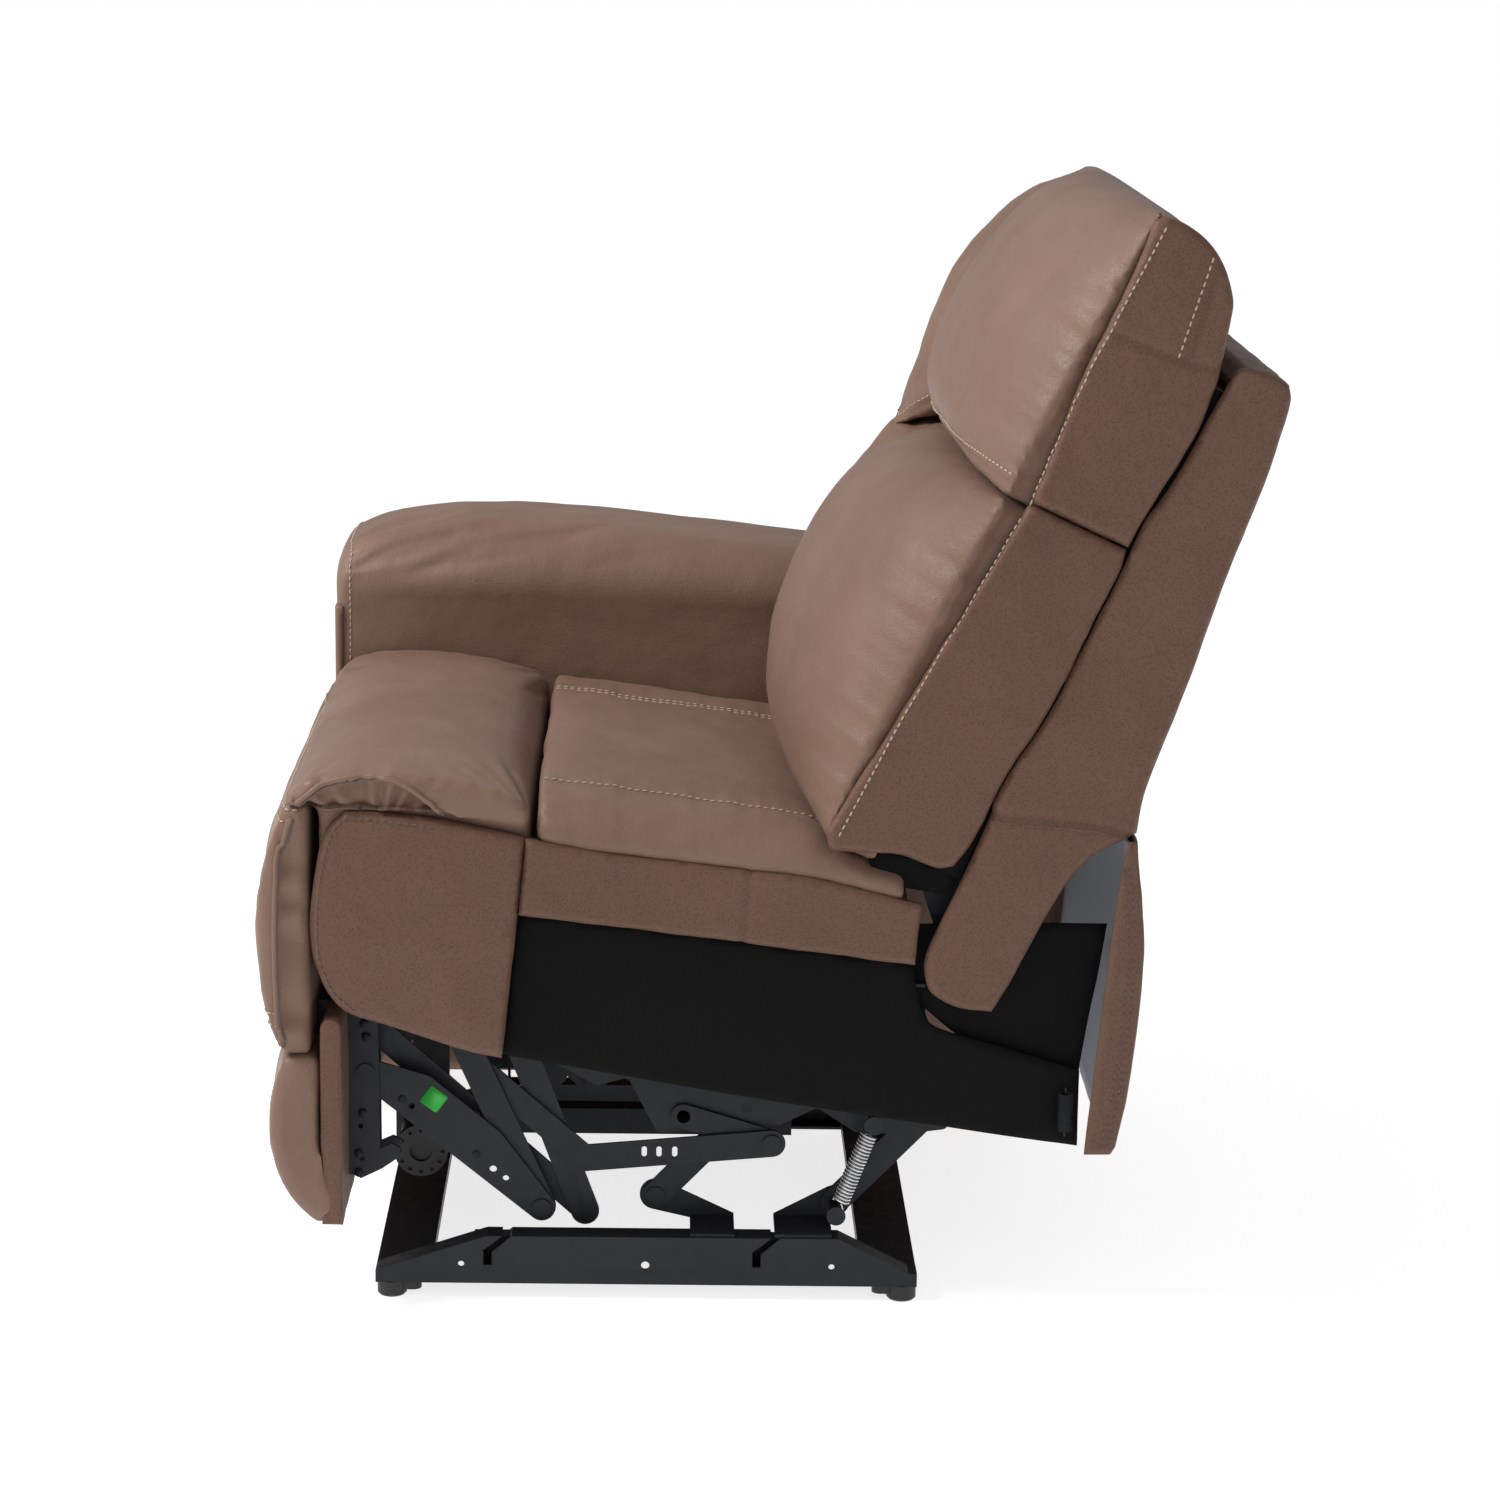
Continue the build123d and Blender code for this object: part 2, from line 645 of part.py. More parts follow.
def back_wing():
    """Outer leather side of the back, running down into the leg over the recline pivot."""
    shape = (
        (210, 488), (211, 497), (231, 536), (252, 569), (282, 631), (299, 668), (319, 711), (327, 731), (339, 760),
        (352, 777), (374, 814), (391, 848), (405, 875), (414, 892), (424, 895), (449, 888), (461, 880),
        (463, 866), (455, 831), (446, 797), (431, 757), (407, 690), (379, 598), (361, 551), (346, 505),
        (341, 470), (319, 458), (301, 447), (284, 428), (270, 406), (253, 373), (233, 332), (214, 300),
        (184, 303), (165, 312), (156, 321), (152, 337), (153, 352), (160, 371), (177, 409),
    )
    return slab(outline(shape), SIDE_PANEL_INNER, SIDE_PANEL_OUTER - 2)


def outer_back():
    """Leather panel across the rear of the back, with its top ledge."""
    outer_line = [
        (424, 895), (449, 888), (461, 880), (463, 866), (455, 831), (446, 797), (431, 757), (407, 690),
        (379, 598), (361, 551), (346, 505), (341, 470),
    ]
    inner_line = [(331, 470), (336, 507), (351, 554), (369, 600), (397, 693), (421, 760), (436, 800), (450, 862)]
    shape = outer_line + inner_line + [(426, 876), (410, 876)]
    return slab(outline(shape), BACK_FAR + 0.5, SIDE_PANEL_INNER - 0.5)


def back_skirt():
    """Hanging leather flap below the outer back, with a narrow return on each side."""
    outer_line = [
        (343, SKIRT_TOP), (348, 413), (351, 384), (352, 355), (350, 306), (346, 262), (341, 214), (333, 172),
        (327, 163),
    ]
    sheet = outer_line + [(319, 167), (325, 175), (333, 215), (338, 262), (342, 306), (344, 355), (335, SKIRT_TOP)]
    returned = outer_line + [(306, 200), (315, 300), (330, SKIRT_TOP)]
    rear = slab(outline(sheet), SEAT_FAR - 2, SIDE_PANEL_OUTER)
    near = slab(outline(returned), SIDE_PANEL_OUTER - 5, SIDE_PANEL_OUTER)
    far = slab(outline(returned), SEAT_FAR - 2, SEAT_FAR + 3)
    return rear + near + far


def head_board():
    """Board behind the head cushion with two hinge ears."""
    corners = [(372, 100.5), (520, 100.5), (520, 112), (372, 112)]
    board = slab(outline([back_point(*p) for p in corners]), -140, 385)
    centre = back_point(*HEAD_HINGE)
    ear = ((344, 82), (356, 82), (380, 100.4), (380, 108), (362, 104), (344, 98))
    ear_face = outline([back_point(*p) for p in ear])
    ear_face += Pos(*centre) * Circle(9)
    ear_face = drilled(ear_face, [hole(centre)])
    ears = [slab(ear_face, x, x + 12) for x in (0.0, 233.0)]
    return board + ears[0] + ears[1]


def head_hinge_rod():
    """Hinge rod of the head board with its two fixed brackets."""
    centre = back_point(*HEAD_HINGE)
    shape = rod(centre, PIN_RADIUS, -30, 275)
    corners = [(334, 70), (342, 70), (358, 84), (354, 98), (334, 98)]
    stand = outline([back_point(*p) for p in corners]) + Pos(*centre) * Circle(8)
    for x in (-26, 261):
        shape += slab(stand, x, x + 10)
    return shape


def head_actuator():
    """Small linear motor behind the head board."""
    y, z = back_point(400, 165)
    lean = math.degrees(BACK_LEAN)
    tube = Pos(122.5, y, z) * Rot(-lean, 0, 0) * Cylinder(13, 170)
    body = Pos(122.5, y, z) * Rot(-lean, 0, 0) * Pos(0, 6, -60) * Box(46, 40, 50)
    return tube + body


def coil(start, end, x, radius, wire, turns):
    """Close-wound spring body between two side-plane points, as a hollow sleeve with hooks."""
    run = Vector(0, end[0] - start[0], end[1] - start[1])
    plane = Plane(origin=(x, *start), x_dir=(1, 0, 0), z_dir=run.normalized())
    length = run.length
    hook = 14.0
    sleeve = Pos(0, 0, length / 2) * (Cylinder(radius, length - 2 * hook) - Cylinder(radius - wire, length))
    for turn in range(turns):
        z = hook + (turn + 0.5) * (length - 2 * hook) / turns
        groove = Pos(0, 0, z) * (Cylinder(radius + 1, 1.0) - Cylinder(radius - 0.9, 1.2))
        sleeve -= groove
    middle_gap = Box(wire * 2, wire * 2, length - 2 * hook - 4)
    hooks = Pos(0, 0, length / 2) * (Box(wire, wire, length - 16) - middle_gap)
    bridges = [Pos(0, 0, z) * Box(2 * radius - wire, wire, wire) for z in (hook + 1, length - hook - 1)]
    return plane * (sleeve + hooks + bridges[0] + bridges[1])


def pins():
    """Pivot pins and rivets, grouped by the body that carries them."""
    g_front, g_rear = SWING_BASE_FRONT, SWING_BASE_REAR
    k_front, k_rear = moved(g_front, SWING_REACH), moved(g_rear, SWING_REACH)
    spring_end = SPRING_X + 9
    base = [pin(g_front, 305, 316), pin(g_rear, 305, spring_end)]
    seat = [
        pin(k_front, 308, 318, False), pin(k_rear, 308, 318, False),
        pin(INNER_FRONT_TOP, 315, 332.2), pin(INNER_REAR_TOP, 315, 324.4),
        pin(SPRING_HIGH, 315, spring_end, radius=4.0), pin(BACK_PIVOT, 366.6, 376, False),
    ]
    links = [pin(INNER_FRONT_LOW, 327, 336.3)]
    rear_links = [pin(INNER_REAR_LOW, 313, 322, False)]
    bracket = [pin(OUTER_FRONT_END, 330.4, 340)]
    crank = [pin(DRIVE_PIN, 319, 328.3)]
    return base, seat, links, rear_links, bracket, crank


def save(shape, node):
    """Write one node."""
    export_step(shape, f"parts/{node}.step")


def build():
    """Make every node."""
    os.makedirs("parts", exist_ok=True)
    base_pins, seat_pins, link_pins, rear_link_pins, bracket_pins, crank_pins = pins()

    rail = base_rail()
    save(rail, "base_rail_right")
    save(other_side(rail), "base_rail_left")
    save(Compound([base_beam(FRONT_BEAM), base_beam(REAR_BEAM)]), "base_beams")
    save(both_sides([foot(-342, 1), foot(141, -1)]), "feet")
    brackets = [pivot_bracket(SWING_BASE_FRONT, (-60, -18)), pivot_bracket(SWING_BASE_REAR, (20, 74))]
    save(both_sides(brackets + base_pins), "pivot_brackets")

    save(both_sides([swing_link(SWING_BASE_REAR)]), "rear_swing_links")
    save(swing_tube(), "rear_swing_tube")
    save(both_sides([swing_link(SWING_BASE_FRONT)]), "front_swing_links")

    plate = seat_plate()
    save(plate, "seat_plate_right")
    save(other_side(plate), "seat_plate_left")
    save(both_sides(seat_pins), "seat_pivot_pins")
    save(both_sides([seat_riser()]), "seat_risers")
    save(Compound(cross_tubes() + [motor_hanger()]), "seat_cross_tubes")
    save(motor(), "drive_motor")
    save(actuator_rail(), "actuator_rail")
    save(actuator_carriage(), "actuator_carriage")
    save(Compound([drive_shaft()] + list(both_sides(crank_pins).solids())), "drive_shaft")
    save(both_sides([push_link()]), "push_links")

    wood = box((WOOD_SIDE[0], -395, WOOD_BOTTOM), (WOOD_SIDE[1], 140, WOOD_TOP))
    save(both_sides([wood]), "seat_side_rails")
    wood_far = 2 * SEAT_MIDDLE - WOOD_SIDE[0]
    front_end, rear_end = [box((wood_far, y, WOOD_BOTTOM), (WOOD_SIDE[0], y + 25, WOOD_TOP)) for y in (-395, 115)]
    riser_slots = both_sides([box((372.5, 110, 320), (377, 145, 386))])
    save(Compound([front_end, rear_end - riser_slots]), "seat_cross_rails")
    save(Compound([seat_wire(SEAT_MIDDLE + 95 * step) for step in (-2, -1, 0, 1, 2)]), "seat_springs")
    save(seat_cushion(), "seat_cushion")
    save(front_roll(), "front_roll")
    save(front_side_panel(), "front_side_panel")
    save(side_strip(), "side_strip")
    save(fabric_side(), "side_cover_right")
    save(fabric_side_far(), "side_cover_left")

    save(both_sides([inner_link(INNER_FRONT_TOP, INNER_FRONT_LOW, 2)] + link_pins), "inner_links_front")
    save(both_sides([inner_link(INNER_REAR_TOP, INNER_REAR_LOW, 4)] + rear_link_pins), "inner_links_rear")
    save(both_sides([outer_link_front()]), "outer_links_front")
    save(both_sides([outer_link_rear()]), "outer_links_rear")
    save(both_sides([footrest_bracket()] + bracket_pins), "footrest_brackets")
    save(footrest_board(), "footrest_boards")
    save(footrest_pad_upper(), "footrest_pad_upper")
    save(footrest_pad_lower(), "footrest_pad_lower")

    save(back_frame(), "back_frame")
    save(both_sides([back_hinge_plate()]), "back_hinge_plates")
    save(lumbar_cushion(), "lumbar_cushion")
    save(both_sides([lumbar_side()]), "lumbar_sides")
    save(both_sides([back_wing()]), "back_wings")
    save(outer_back(), "outer_back")
    save(head_hinge_rod(), "head_hinge_rod")
    save(head_actuator(), "head_actuator")
    save(back_skirt(), "back_skirt")
    save(head_cushion(), "head_cushion")
    save(both_sides([head_side()]), "head_sides")
    save(head_board(), "head_board")

    save(both_sides([coil(SPRING_LOW, SPRING_HIGH, SPRING_X, 8.5, 2.4, 18)]), "balance_springs")
    skirt_y, skirt_low, skirt_high = SKIRT_SPRING
    save(both_sides([coil((skirt_y, skirt_low), (skirt_y, skirt_high), 407, 7, 1.8, 16)]), "skirt_springs")

    save(arm_frame(), "arm_frame")
    save(arm_hooks(), "arm_hooks")
    save(arm_panel(ARM_INNER - SKIN, ARM_INNER), "arm_panel_inner")
    save(arm_panel(ARM_OUTER, ARM_OUTER + SKIN) - control_cutout(0), "arm_panel_outer")
    save(arm_front(), "arm_front")
    save(arm_pad(), "arm_pad")
    save(control_plate(), "control_plate")
    for name, spot in zip(BUTTON_NAMES, BUTTON_SPOTS):
        save(button(spot), name)


build()
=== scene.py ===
import math

import bmesh
import bpy
from mathutils import Matrix, Vector, geometry, kdtree, noise
from mathutils.bvhtree import BVHTree


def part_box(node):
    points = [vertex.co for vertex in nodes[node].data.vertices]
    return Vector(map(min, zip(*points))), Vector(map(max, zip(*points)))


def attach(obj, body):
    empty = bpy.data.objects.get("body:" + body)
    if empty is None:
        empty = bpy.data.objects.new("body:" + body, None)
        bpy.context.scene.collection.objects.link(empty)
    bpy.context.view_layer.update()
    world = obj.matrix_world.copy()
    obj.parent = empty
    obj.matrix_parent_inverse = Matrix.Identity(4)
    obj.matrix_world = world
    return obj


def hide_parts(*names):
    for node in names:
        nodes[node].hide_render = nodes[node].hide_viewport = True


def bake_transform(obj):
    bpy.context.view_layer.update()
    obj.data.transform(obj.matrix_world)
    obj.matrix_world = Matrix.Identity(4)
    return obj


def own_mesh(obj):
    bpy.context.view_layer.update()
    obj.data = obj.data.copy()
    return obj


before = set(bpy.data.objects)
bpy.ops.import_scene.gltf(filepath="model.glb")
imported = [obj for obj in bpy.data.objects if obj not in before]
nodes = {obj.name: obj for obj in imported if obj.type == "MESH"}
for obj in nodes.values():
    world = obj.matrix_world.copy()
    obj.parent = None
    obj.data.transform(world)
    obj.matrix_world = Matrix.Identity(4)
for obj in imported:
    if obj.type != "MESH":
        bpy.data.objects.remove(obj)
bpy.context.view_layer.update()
MM = 0.001

# The back leans from this corner, by this angle.
BACK_CORNER = Vector((0.0, 0.059, 0.468))
BACK_LEAN = math.atan(0.5)
UP_BACK = Vector((0.0, math.sin(BACK_LEAN), math.cos(BACK_LEAN)))
BEHIND = Vector((0.0, math.cos(BACK_LEAN), -math.sin(BACK_LEAN)))

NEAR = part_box("side_strip")[1].x
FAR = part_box("head_sides")[0].x
MIDDLE = (NEAR + FAR) / 2
HALF = (NEAR - FAR) / 2

# Cell sizes of padded skins and of flat panels, and how far a swell of the hide stands up.
SKIN = 0.0062
PANEL_STEP = 0.0045
SWELL = 0.0016

# ---------------------------------------------------------------- camera, light and floor

def look(place, pitch, roll, lens, shift):
    """Camera on the open side, looking slightly down."""
    data = bpy.data.cameras.new("camera")
    data.lens = lens
    data.sensor_width = 36
    data.shift_x = shift
    camera = bpy.data.objects.new("camera", data)
    camera.location = place
    turn = Matrix.Rotation(math.radians(90), 4, "Z") @ Matrix.Rotation(math.radians(90 - pitch), 4, "X")
    camera.matrix_world = Matrix.Translation(place) @ turn @ Matrix.Rotation(math.radians(roll), 4, "Z")
    bpy.context.scene.collection.objects.link(camera)
    bpy.context.scene.camera = camera


def softbox(name, place, target, size, power):
    """Large soft area lamp."""
    data = bpy.data.lights.new(name, "AREA")
    data.shape = "RECTANGLE"
    data.size, data.size_y = size
    data.energy = power
    lamp = bpy.data.objects.new(name, data)
    lamp.location = place
    lamp.rotation_euler = (Vector(target) - Vector(place)).to_track_quat("-Z", "Y").to_euler()
    bpy.context.scene.collection.objects.link(lamp)


def studio():
    """Pale room, soft key from the front, softer fill on the open side."""
    scene = bpy.context.scene
    scene.view_settings.view_transform = "Standard"
    world = bpy.data.worlds.new("pale_room")
    world.use_nodes = True
    tree = world.node_tree
    air = tree.nodes["Background"]
    air.inputs["Color"].default_value = (0.96, 0.98, 1.0, 1)
    air.inputs["Strength"].default_value = 0.42
    white = tree.nodes.new("ShaderNodeBackground")
    white.inputs["Color"].default_value = (1, 1, 1, 1)
    seen = tree.nodes.new("ShaderNodeLightPath")
    mix = tree.nodes.new("ShaderNodeMixShader")
    tree.links.new(seen.outputs["Is Camera Ray"], mix.inputs[0])
    tree.links.new(air.outputs[0], mix.inputs[1])
    tree.links.new(white.outputs[0], mix.inputs[2])
    tree.links.new(mix.outputs[0], tree.nodes["World Output"].inputs["Surface"])
    scene.world = world
    softbox("key", (0.5, -2.2, 2.7), (0.1, 0.0, 0.6), (1.5, 1.1), 92)
    softbox("fill", (3.2, 0.4, 1.9), (0.2, 0.0, 0.5), (2.0, 1.6), 9)
    reach = 7.0
    corners = [(-reach, -reach, 0), (reach, -reach, 0), (reach, reach, 0), (-reach, reach, 0)]
    mesh = bpy.data.meshes.new("floor")
    mesh.from_pydata(corners, [], [(0, 1, 2, 3)])
    floor = bpy.data.objects.new("floor", mesh)
    scene.collection.objects.link(floor)
    paint = plain("pale_floor", (0.60, 0.60, 0.60), 0.9)
    shader = paint.node_tree.nodes["Principled BSDF"]
    shader.inputs["Specular IOR Level"].default_value = 0.0
    shader.inputs["Emission Color"].default_value = (1, 1, 1, 1)
    shader.inputs["Emission Strength"].default_value = 0.78
    floor.data.materials.append(paint)


# ---------------------------------------------------------------- finishes

class Finish:
    """A material being made, with short calls for its nodes."""

    def __init__(self, name, roughness):
        self.material = bpy.data.materials.new(name)
        self.material.use_nodes = True
        self.tree = self.material.node_tree
        self.shader = self.tree.nodes["Principled BSDF"]
        self.shader.inputs["Roughness"].default_value = roughness
        self.place = self.node("ShaderNodeTexCoord").outputs["Object"]

    def node(self, kind, **settings):
        made = self.tree.nodes.new(kind)
        for key, value in settings.items():
            setattr(made, key, value)
        return made

    def join(self, output, socket):
        self.tree.links.new(output, socket)

    def noise(self, size, detail=3.0, rough=0.55, stretch=None):
        texture = self.node("ShaderNodeTexNoise")
        texture.inputs["Scale"].default_value = 1 / size
        texture.inputs["Detail"].default_value = detail
        texture.inputs["Roughness"].default_value = rough
        self.join(self.stretched(stretch), texture.inputs["Vector"])
        return texture.outputs["Fac"]

    def cells(self, size, feature="F1", stretch=None, randomness=1.0):
        texture = self.node("ShaderNodeTexVoronoi", feature=feature)
        texture.inputs["Scale"].default_value = 1 / size
        texture.inputs["Randomness"].default_value = randomness
        self.join(self.stretched(stretch), texture.inputs["Vector"])
        return texture.outputs["Distance"]

    def stretched(self, stretch):
        if stretch is None:
            return self.place
        mapping = self.node("ShaderNodeMapping")
        mapping.inputs["Scale"].default_value = stretch
        self.join(self.place, mapping.inputs["Vector"])
        return mapping.outputs["Vector"]

    def span(self, value, low, high, to_low=0.0, to_high=1.0):
        step = self.node("ShaderNodeMapRange")
        for socket, number in zip(("From Min", "From Max", "To Min", "To Max"), (low, high, to_low, to_high)):
            step.inputs[socket].default_value = number
        self.join(value, step.inputs["Value"])
        return step.outputs["Result"]

    def tint(self, factor, low, high):
        """Colour between two others; either may be a colour or a socket."""
        mix = self.node("ShaderNodeMix", data_type="RGBA")
        self.join(factor, mix.inputs[0])
        for socket, colour in ((mix.inputs[6], low), (mix.inputs[7], high)):
            if isinstance(colour, tuple):
                socket.default_value = (*colour, 1)
            else:
                self.join(colour, socket)
        return mix.outputs[2]

    def add(self, first, second, share):
        """first + second * share"""
        sum_node = self.node("ShaderNodeMath", operation="MULTIPLY_ADD")
        self.join(second, sum_node.inputs[0])
        sum_node.inputs[1].default_value = share
        self.join(first, sum_node.inputs[2])
        return sum_node.outputs[0]

    def wear(self, low, high):
        """Where edges stick out, from 0 to 1."""
        return self.span(self.node("ShaderNodeNewGeometry").outputs["Pointiness"], low, high)

    def colour(self, socket):
        self.join(socket, self.shader.inputs["Base Color"])

    def roughness(self, socket):
        self.join(socket, self.shader.inputs["Roughness"])

    def bumps(self, *layers):
        """Each layer is a height and its depth in metres."""
        normal = None
        for height, depth in layers:
            bump = self.node("ShaderNodeBump")
            bump.inputs["Strength"].default_value = 1.0
            bump.inputs["Distance"].default_value = depth
            self.join(height, bump.inputs["Height"])
            if normal is not None:
                self.join(normal, bump.inputs["Normal"])
            normal = bump.outputs["Normal"]
        self.join(normal, self.shader.inputs["Normal"])


def plain(name, colour, roughness):
    """Quiet finish with a faint change of tone."""
    made = Finish(name, roughness)
    tone = tuple(c * 0.97 for c in colour)
    made.colour(made.tint(made.noise(0.4), tone, colour))
    return made.material


def leather(name, light, dark, grain, pore, crease):
    """Pigmented hide: slow change of tone, pores, fine creases, lighter rubbed edges."""
    made = Finish(name, 0.5)
    made.shader.inputs["Specular IOR Level"].default_value = 0.32
    made.shader.inputs["Sheen Weight"].default_value = 0.03
    made.shader.inputs["Sheen Roughness"].default_value = 0.5
    cloud = made.span(made.noise(0.16, 4.0, 0.6), 0.3, 0.7)
    tone = made.tint(cloud, dark, light)
    pores = made.span(made.cells(grain), 0.05, 0.5)
    deep = tuple(c * 0.45 for c in dark)
    toned = made.tint(made.span(pores, 0.0, 1.0, 1.0 - pore, 1.0), deep, tone)
    rubbed = tuple(min(1.0, c * 1.35) for c in light)
    made.colour(made.tint(made.span(made.wear(0.53, 0.62), 0.0, 1.0, 0.0, 0.35), toned, rubbed))
    shine = made.add(made.noise(0.05, 3.0), made.noise(0.004, 2.0), 0.25)
    made.roughness(made.span(shine, 0.3, 0.9, 0.4, 0.6))
    fine = made.noise(grain * 0.45, 2.0)
    folds = made.noise(0.02, 5.0, 0.6)
    made.bumps((folds, crease), (pores, grain * 0.10), (fine, grain * 0.05))
    return made.material


def felt_cloth(name):
    """Black non-woven lining cloth with matted fibres and thermal dots."""
    made = Finish(name, 0.95)
    made.shader.inputs["Specular IOR Level"].default_value = 0.1
    fibres = made.noise(0.0012, 4.0, 0.7, (1, 1, 3))
    made.colour(made.tint(made.span(fibres, 0.3, 0.7), (0.005, 0.005, 0.0048), (0.009, 0.009, 0.0085)))
    dots = made.span(made.cells(0.0022, randomness=0.15), 0.15, 0.4)
    made.bumps((made.noise(0.06, 3.0), 0.0008), (dots, 0.0001), (fibres, 0.0001))
    return made.material


def coated_steel(name, low, high, rough):
    """Powder coat with orange peel and thin, brighter edges."""
    made = Finish(name, rough)
    made.shader.inputs["Specular IOR Level"].default_value = 0.16
    body = made.tint(made.span(made.noise(0.07, 4.0), 0.35, 0.65), low, high)
    made.colour(made.tint(made.span(made.wear(0.52, 0.6), 0.0, 1.0, 0.0, 0.4), body, (0.045, 0.047, 0.052)))
    made.roughness(made.span(made.noise(0.012, 3.0), 0.3, 0.7, rough - 0.08, rough + 0.12))
    made.bumps((made.noise(0.0022, 2.0), 0.00008), (made.noise(0.0006, 2.0), 0.00002))
    return made.material


def bright_zinc(name):
    """Zinc plate, slightly clouded and finely scratched."""
    made = Finish(name, 0.26)
    made.shader.inputs["Metallic"].default_value = 1.0
    cloud = made.span(made.noise(0.01, 4.0), 0.3, 0.7)
    made.colour(made.tint(cloud, (0.52, 0.53, 0.54), (0.74, 0.74, 0.72)))
    made.roughness(made.span(made.noise(0.003, 3.0), 0.3, 0.7, 0.2, 0.36))
    made.bumps((made.noise(0.0008, 2.0, 0.6, (1, 1, 6)), 0.00003),)
    return made.material


def moulded(name, low, high, rough):
    """Moulded plastic with a fine spark texture."""
    made = Finish(name, rough)
    made.colour(made.tint(made.span(made.noise(0.03, 3.0), 0.3, 0.7), low, high))
    made.roughness(made.span(made.noise(0.002, 2.0), 0.3, 0.7, rough - 0.05, rough + 0.08))
    made.bumps((made.noise(0.0007, 2.0), 0.00005),)
    return made.material


def raw_wood(name):
    """Sawn softwood: long growth rings and fine fibres."""
    made = Finish(name, 0.75)
    rings = made.node("ShaderNodeTexWave", wave_type="RINGS")
    rings.inputs["Scale"].default_value = 9.0
    rings.inputs["Distortion"].default_value = 4.0
    rings.inputs["Detail"].default_value = 3.0
    made.join(made.stretched((0.25, 1.6, 1.6)), rings.inputs["Vector"])
    fibre = made.noise(0.004, 3.0, 0.6, (0.08, 1, 1))
    tone = made.tint(rings.outputs["Fac"], (0.34, 0.22, 0.12), (0.52, 0.37, 0.22))
    made.colour(made.tint(made.span(fibre, 0.3, 0.7, 0.0, 0.5), tone, (0.27, 0.17, 0.09)))
    made.bumps((fibre, 0.0003))
    return made.material


def thread(name, colour):
    """Twisted polyester thread."""
    made = Finish(name, 0.6)
    made.shader.inputs["Sheen Weight"].default_value = 0.3
    dim = tuple(c * 0.7 for c in colour)
    made.colour(made.tint(made.noise(0.002, 2.0), dim, colour))
    made.bumps((made.noise(0.0006, 2.0), 0.0001),)
    return made.material


# ---------------------------------------------------------------- shapes

def smooth_line(points, step, closed=True, corner=38.0):
    """Even points on a smooth line through the given ones, with sharp turns kept sharp."""
    count = len(points)
    points = [Vector(p) for p in points]
    sharp = []
    for i, here in enumerate(points):
        if not closed and i in (0, count - 1):
            sharp.append(True)
            continue
        before, after = here - points[i - 1], points[(i + 1) % count] - here
        sharp.append(math.degrees(before.angle(after, 0.0)) > corner)
    line = []
    for i in range(count if closed else count - 1):
        start, end = points[i], points[(i + 1) % count]
        before = start * 2 - end if sharp[i] else points[i - 1]
        after = end * 2 - start if sharp[(i + 1) % count] else points[(i + 2) % count]
        length = (end - start).length
        lead = (end - before) * (length / max(1e-9, (end - start).length + (start - before).length))
        tail = (after - start) * (length / max(1e-9, (after - end).length + length))
        pieces = max(1, round(length / step))
        for k in range(pieces):
            t = k / pieces
            a, b = 2 * t**3 - 3 * t**2 + 1, t**3 - 2 * t**2 + t
            c, d = -2 * t**3 + 3 * t**2, t**3 - t**2
            line.append(start * a + lead * b + end * c + tail * d)
    if not closed:
        line.append(points[-1])
    return line


def inward(loop):
    """Unit directions towards the inside of a flat closed loop, one for each point."""
    area = sum(a.x * b.y - b.x * a.y for a, b in zip(loop, loop[1:] + loop[:1]))
    turn = 1.0 if area > 0 else -1.0
    found = []
    for i in range(len(loop)):
        along = (loop[(i + 1) % len(loop)] - loop[i - 1]).normalized()
        found.append(Vector((-along.y, along.x)) * turn)
    return found


def end_outline(node, high=True):
    """Side outline of a CAD node's outermost face, as flat points (y, z)."""
    shell = bmesh.new()
    shell.from_mesh(nodes[node].data)
    bmesh.ops.remove_doubles(shell, verts=shell.verts, dist=1e-5)
    edge = max(v.co.x for v in shell.verts) if high else min(v.co.x for v in shell.verts)
    faces = [f for f in shell.faces if all(abs(v.co.x - edge) < 1e-4 for v in f.verts)]
    inside = set(faces)
    rim = [e for e in shell.edges if sum(f in inside for f in e.link_faces) == 1]
    links = {}
    for e in rim:
        a, b = e.verts
        links.setdefault(a, []).append(b)
        links.setdefault(b, []).append(a)
    start = rim[0].verts[0]
    loop, before, here = [], None, start
    while True:
        loop.append(Vector((here.co.y, here.co.z)))
        onward = [v for v in links[here] if v is not before]
        before, here = here, onward[0]
        if here is start:
            break
    shell.free()
    return [p for i, p in enumerate(loop) if (p - loop[i - 1]).length > 1e-4]


def make_piece(name, vertices, faces):
    """Named mesh object, with its faces turned outwards and smooth."""
    mesh = bpy.data.meshes.new(name)
    mesh.from_pydata(vertices, [], faces)
    shell = bmesh.new()
    shell.from_mesh(mesh)
    bmesh.ops.remove_doubles(shell, verts=shell.verts, dist=2e-5)
    bmesh.ops.recalc_face_normals(shell, faces=shell.faces)
    shell.to_mesh(mesh)
    shell.free()
    mesh.shade_smooth()
    piece = bpy.data.objects.new(name, mesh)
    bpy.context.scene.collection.objects.link(piece)
    return piece


def closed_loft(rings):
    """Vertices and faces of a closed skin through rings of equal count."""
    count = len(rings[0])
    vertices = [tuple(p) for ring in rings for p in ring]
    faces = []
    for r in range(len(rings) - 1):
        for k in range(count):
            n = (k + 1) % count
            faces.append((r * count + k, r * count + n, (r + 1) * count + n, (r + 1) * count + k))
    faces.append(tuple(range(count))[::-1])
    last = (len(rings) - 1) * count
    faces.append(tuple(range(last, last + count)))
    return vertices, faces


def joined(name, parts):
    """One piece from several loose shells."""
    vertices, faces = [], []
    for more, sides in parts:
        base = len(vertices)
        vertices += more
        faces += [tuple(base + i for i in side) for side in sides]
    return make_piece(name, vertices, faces)


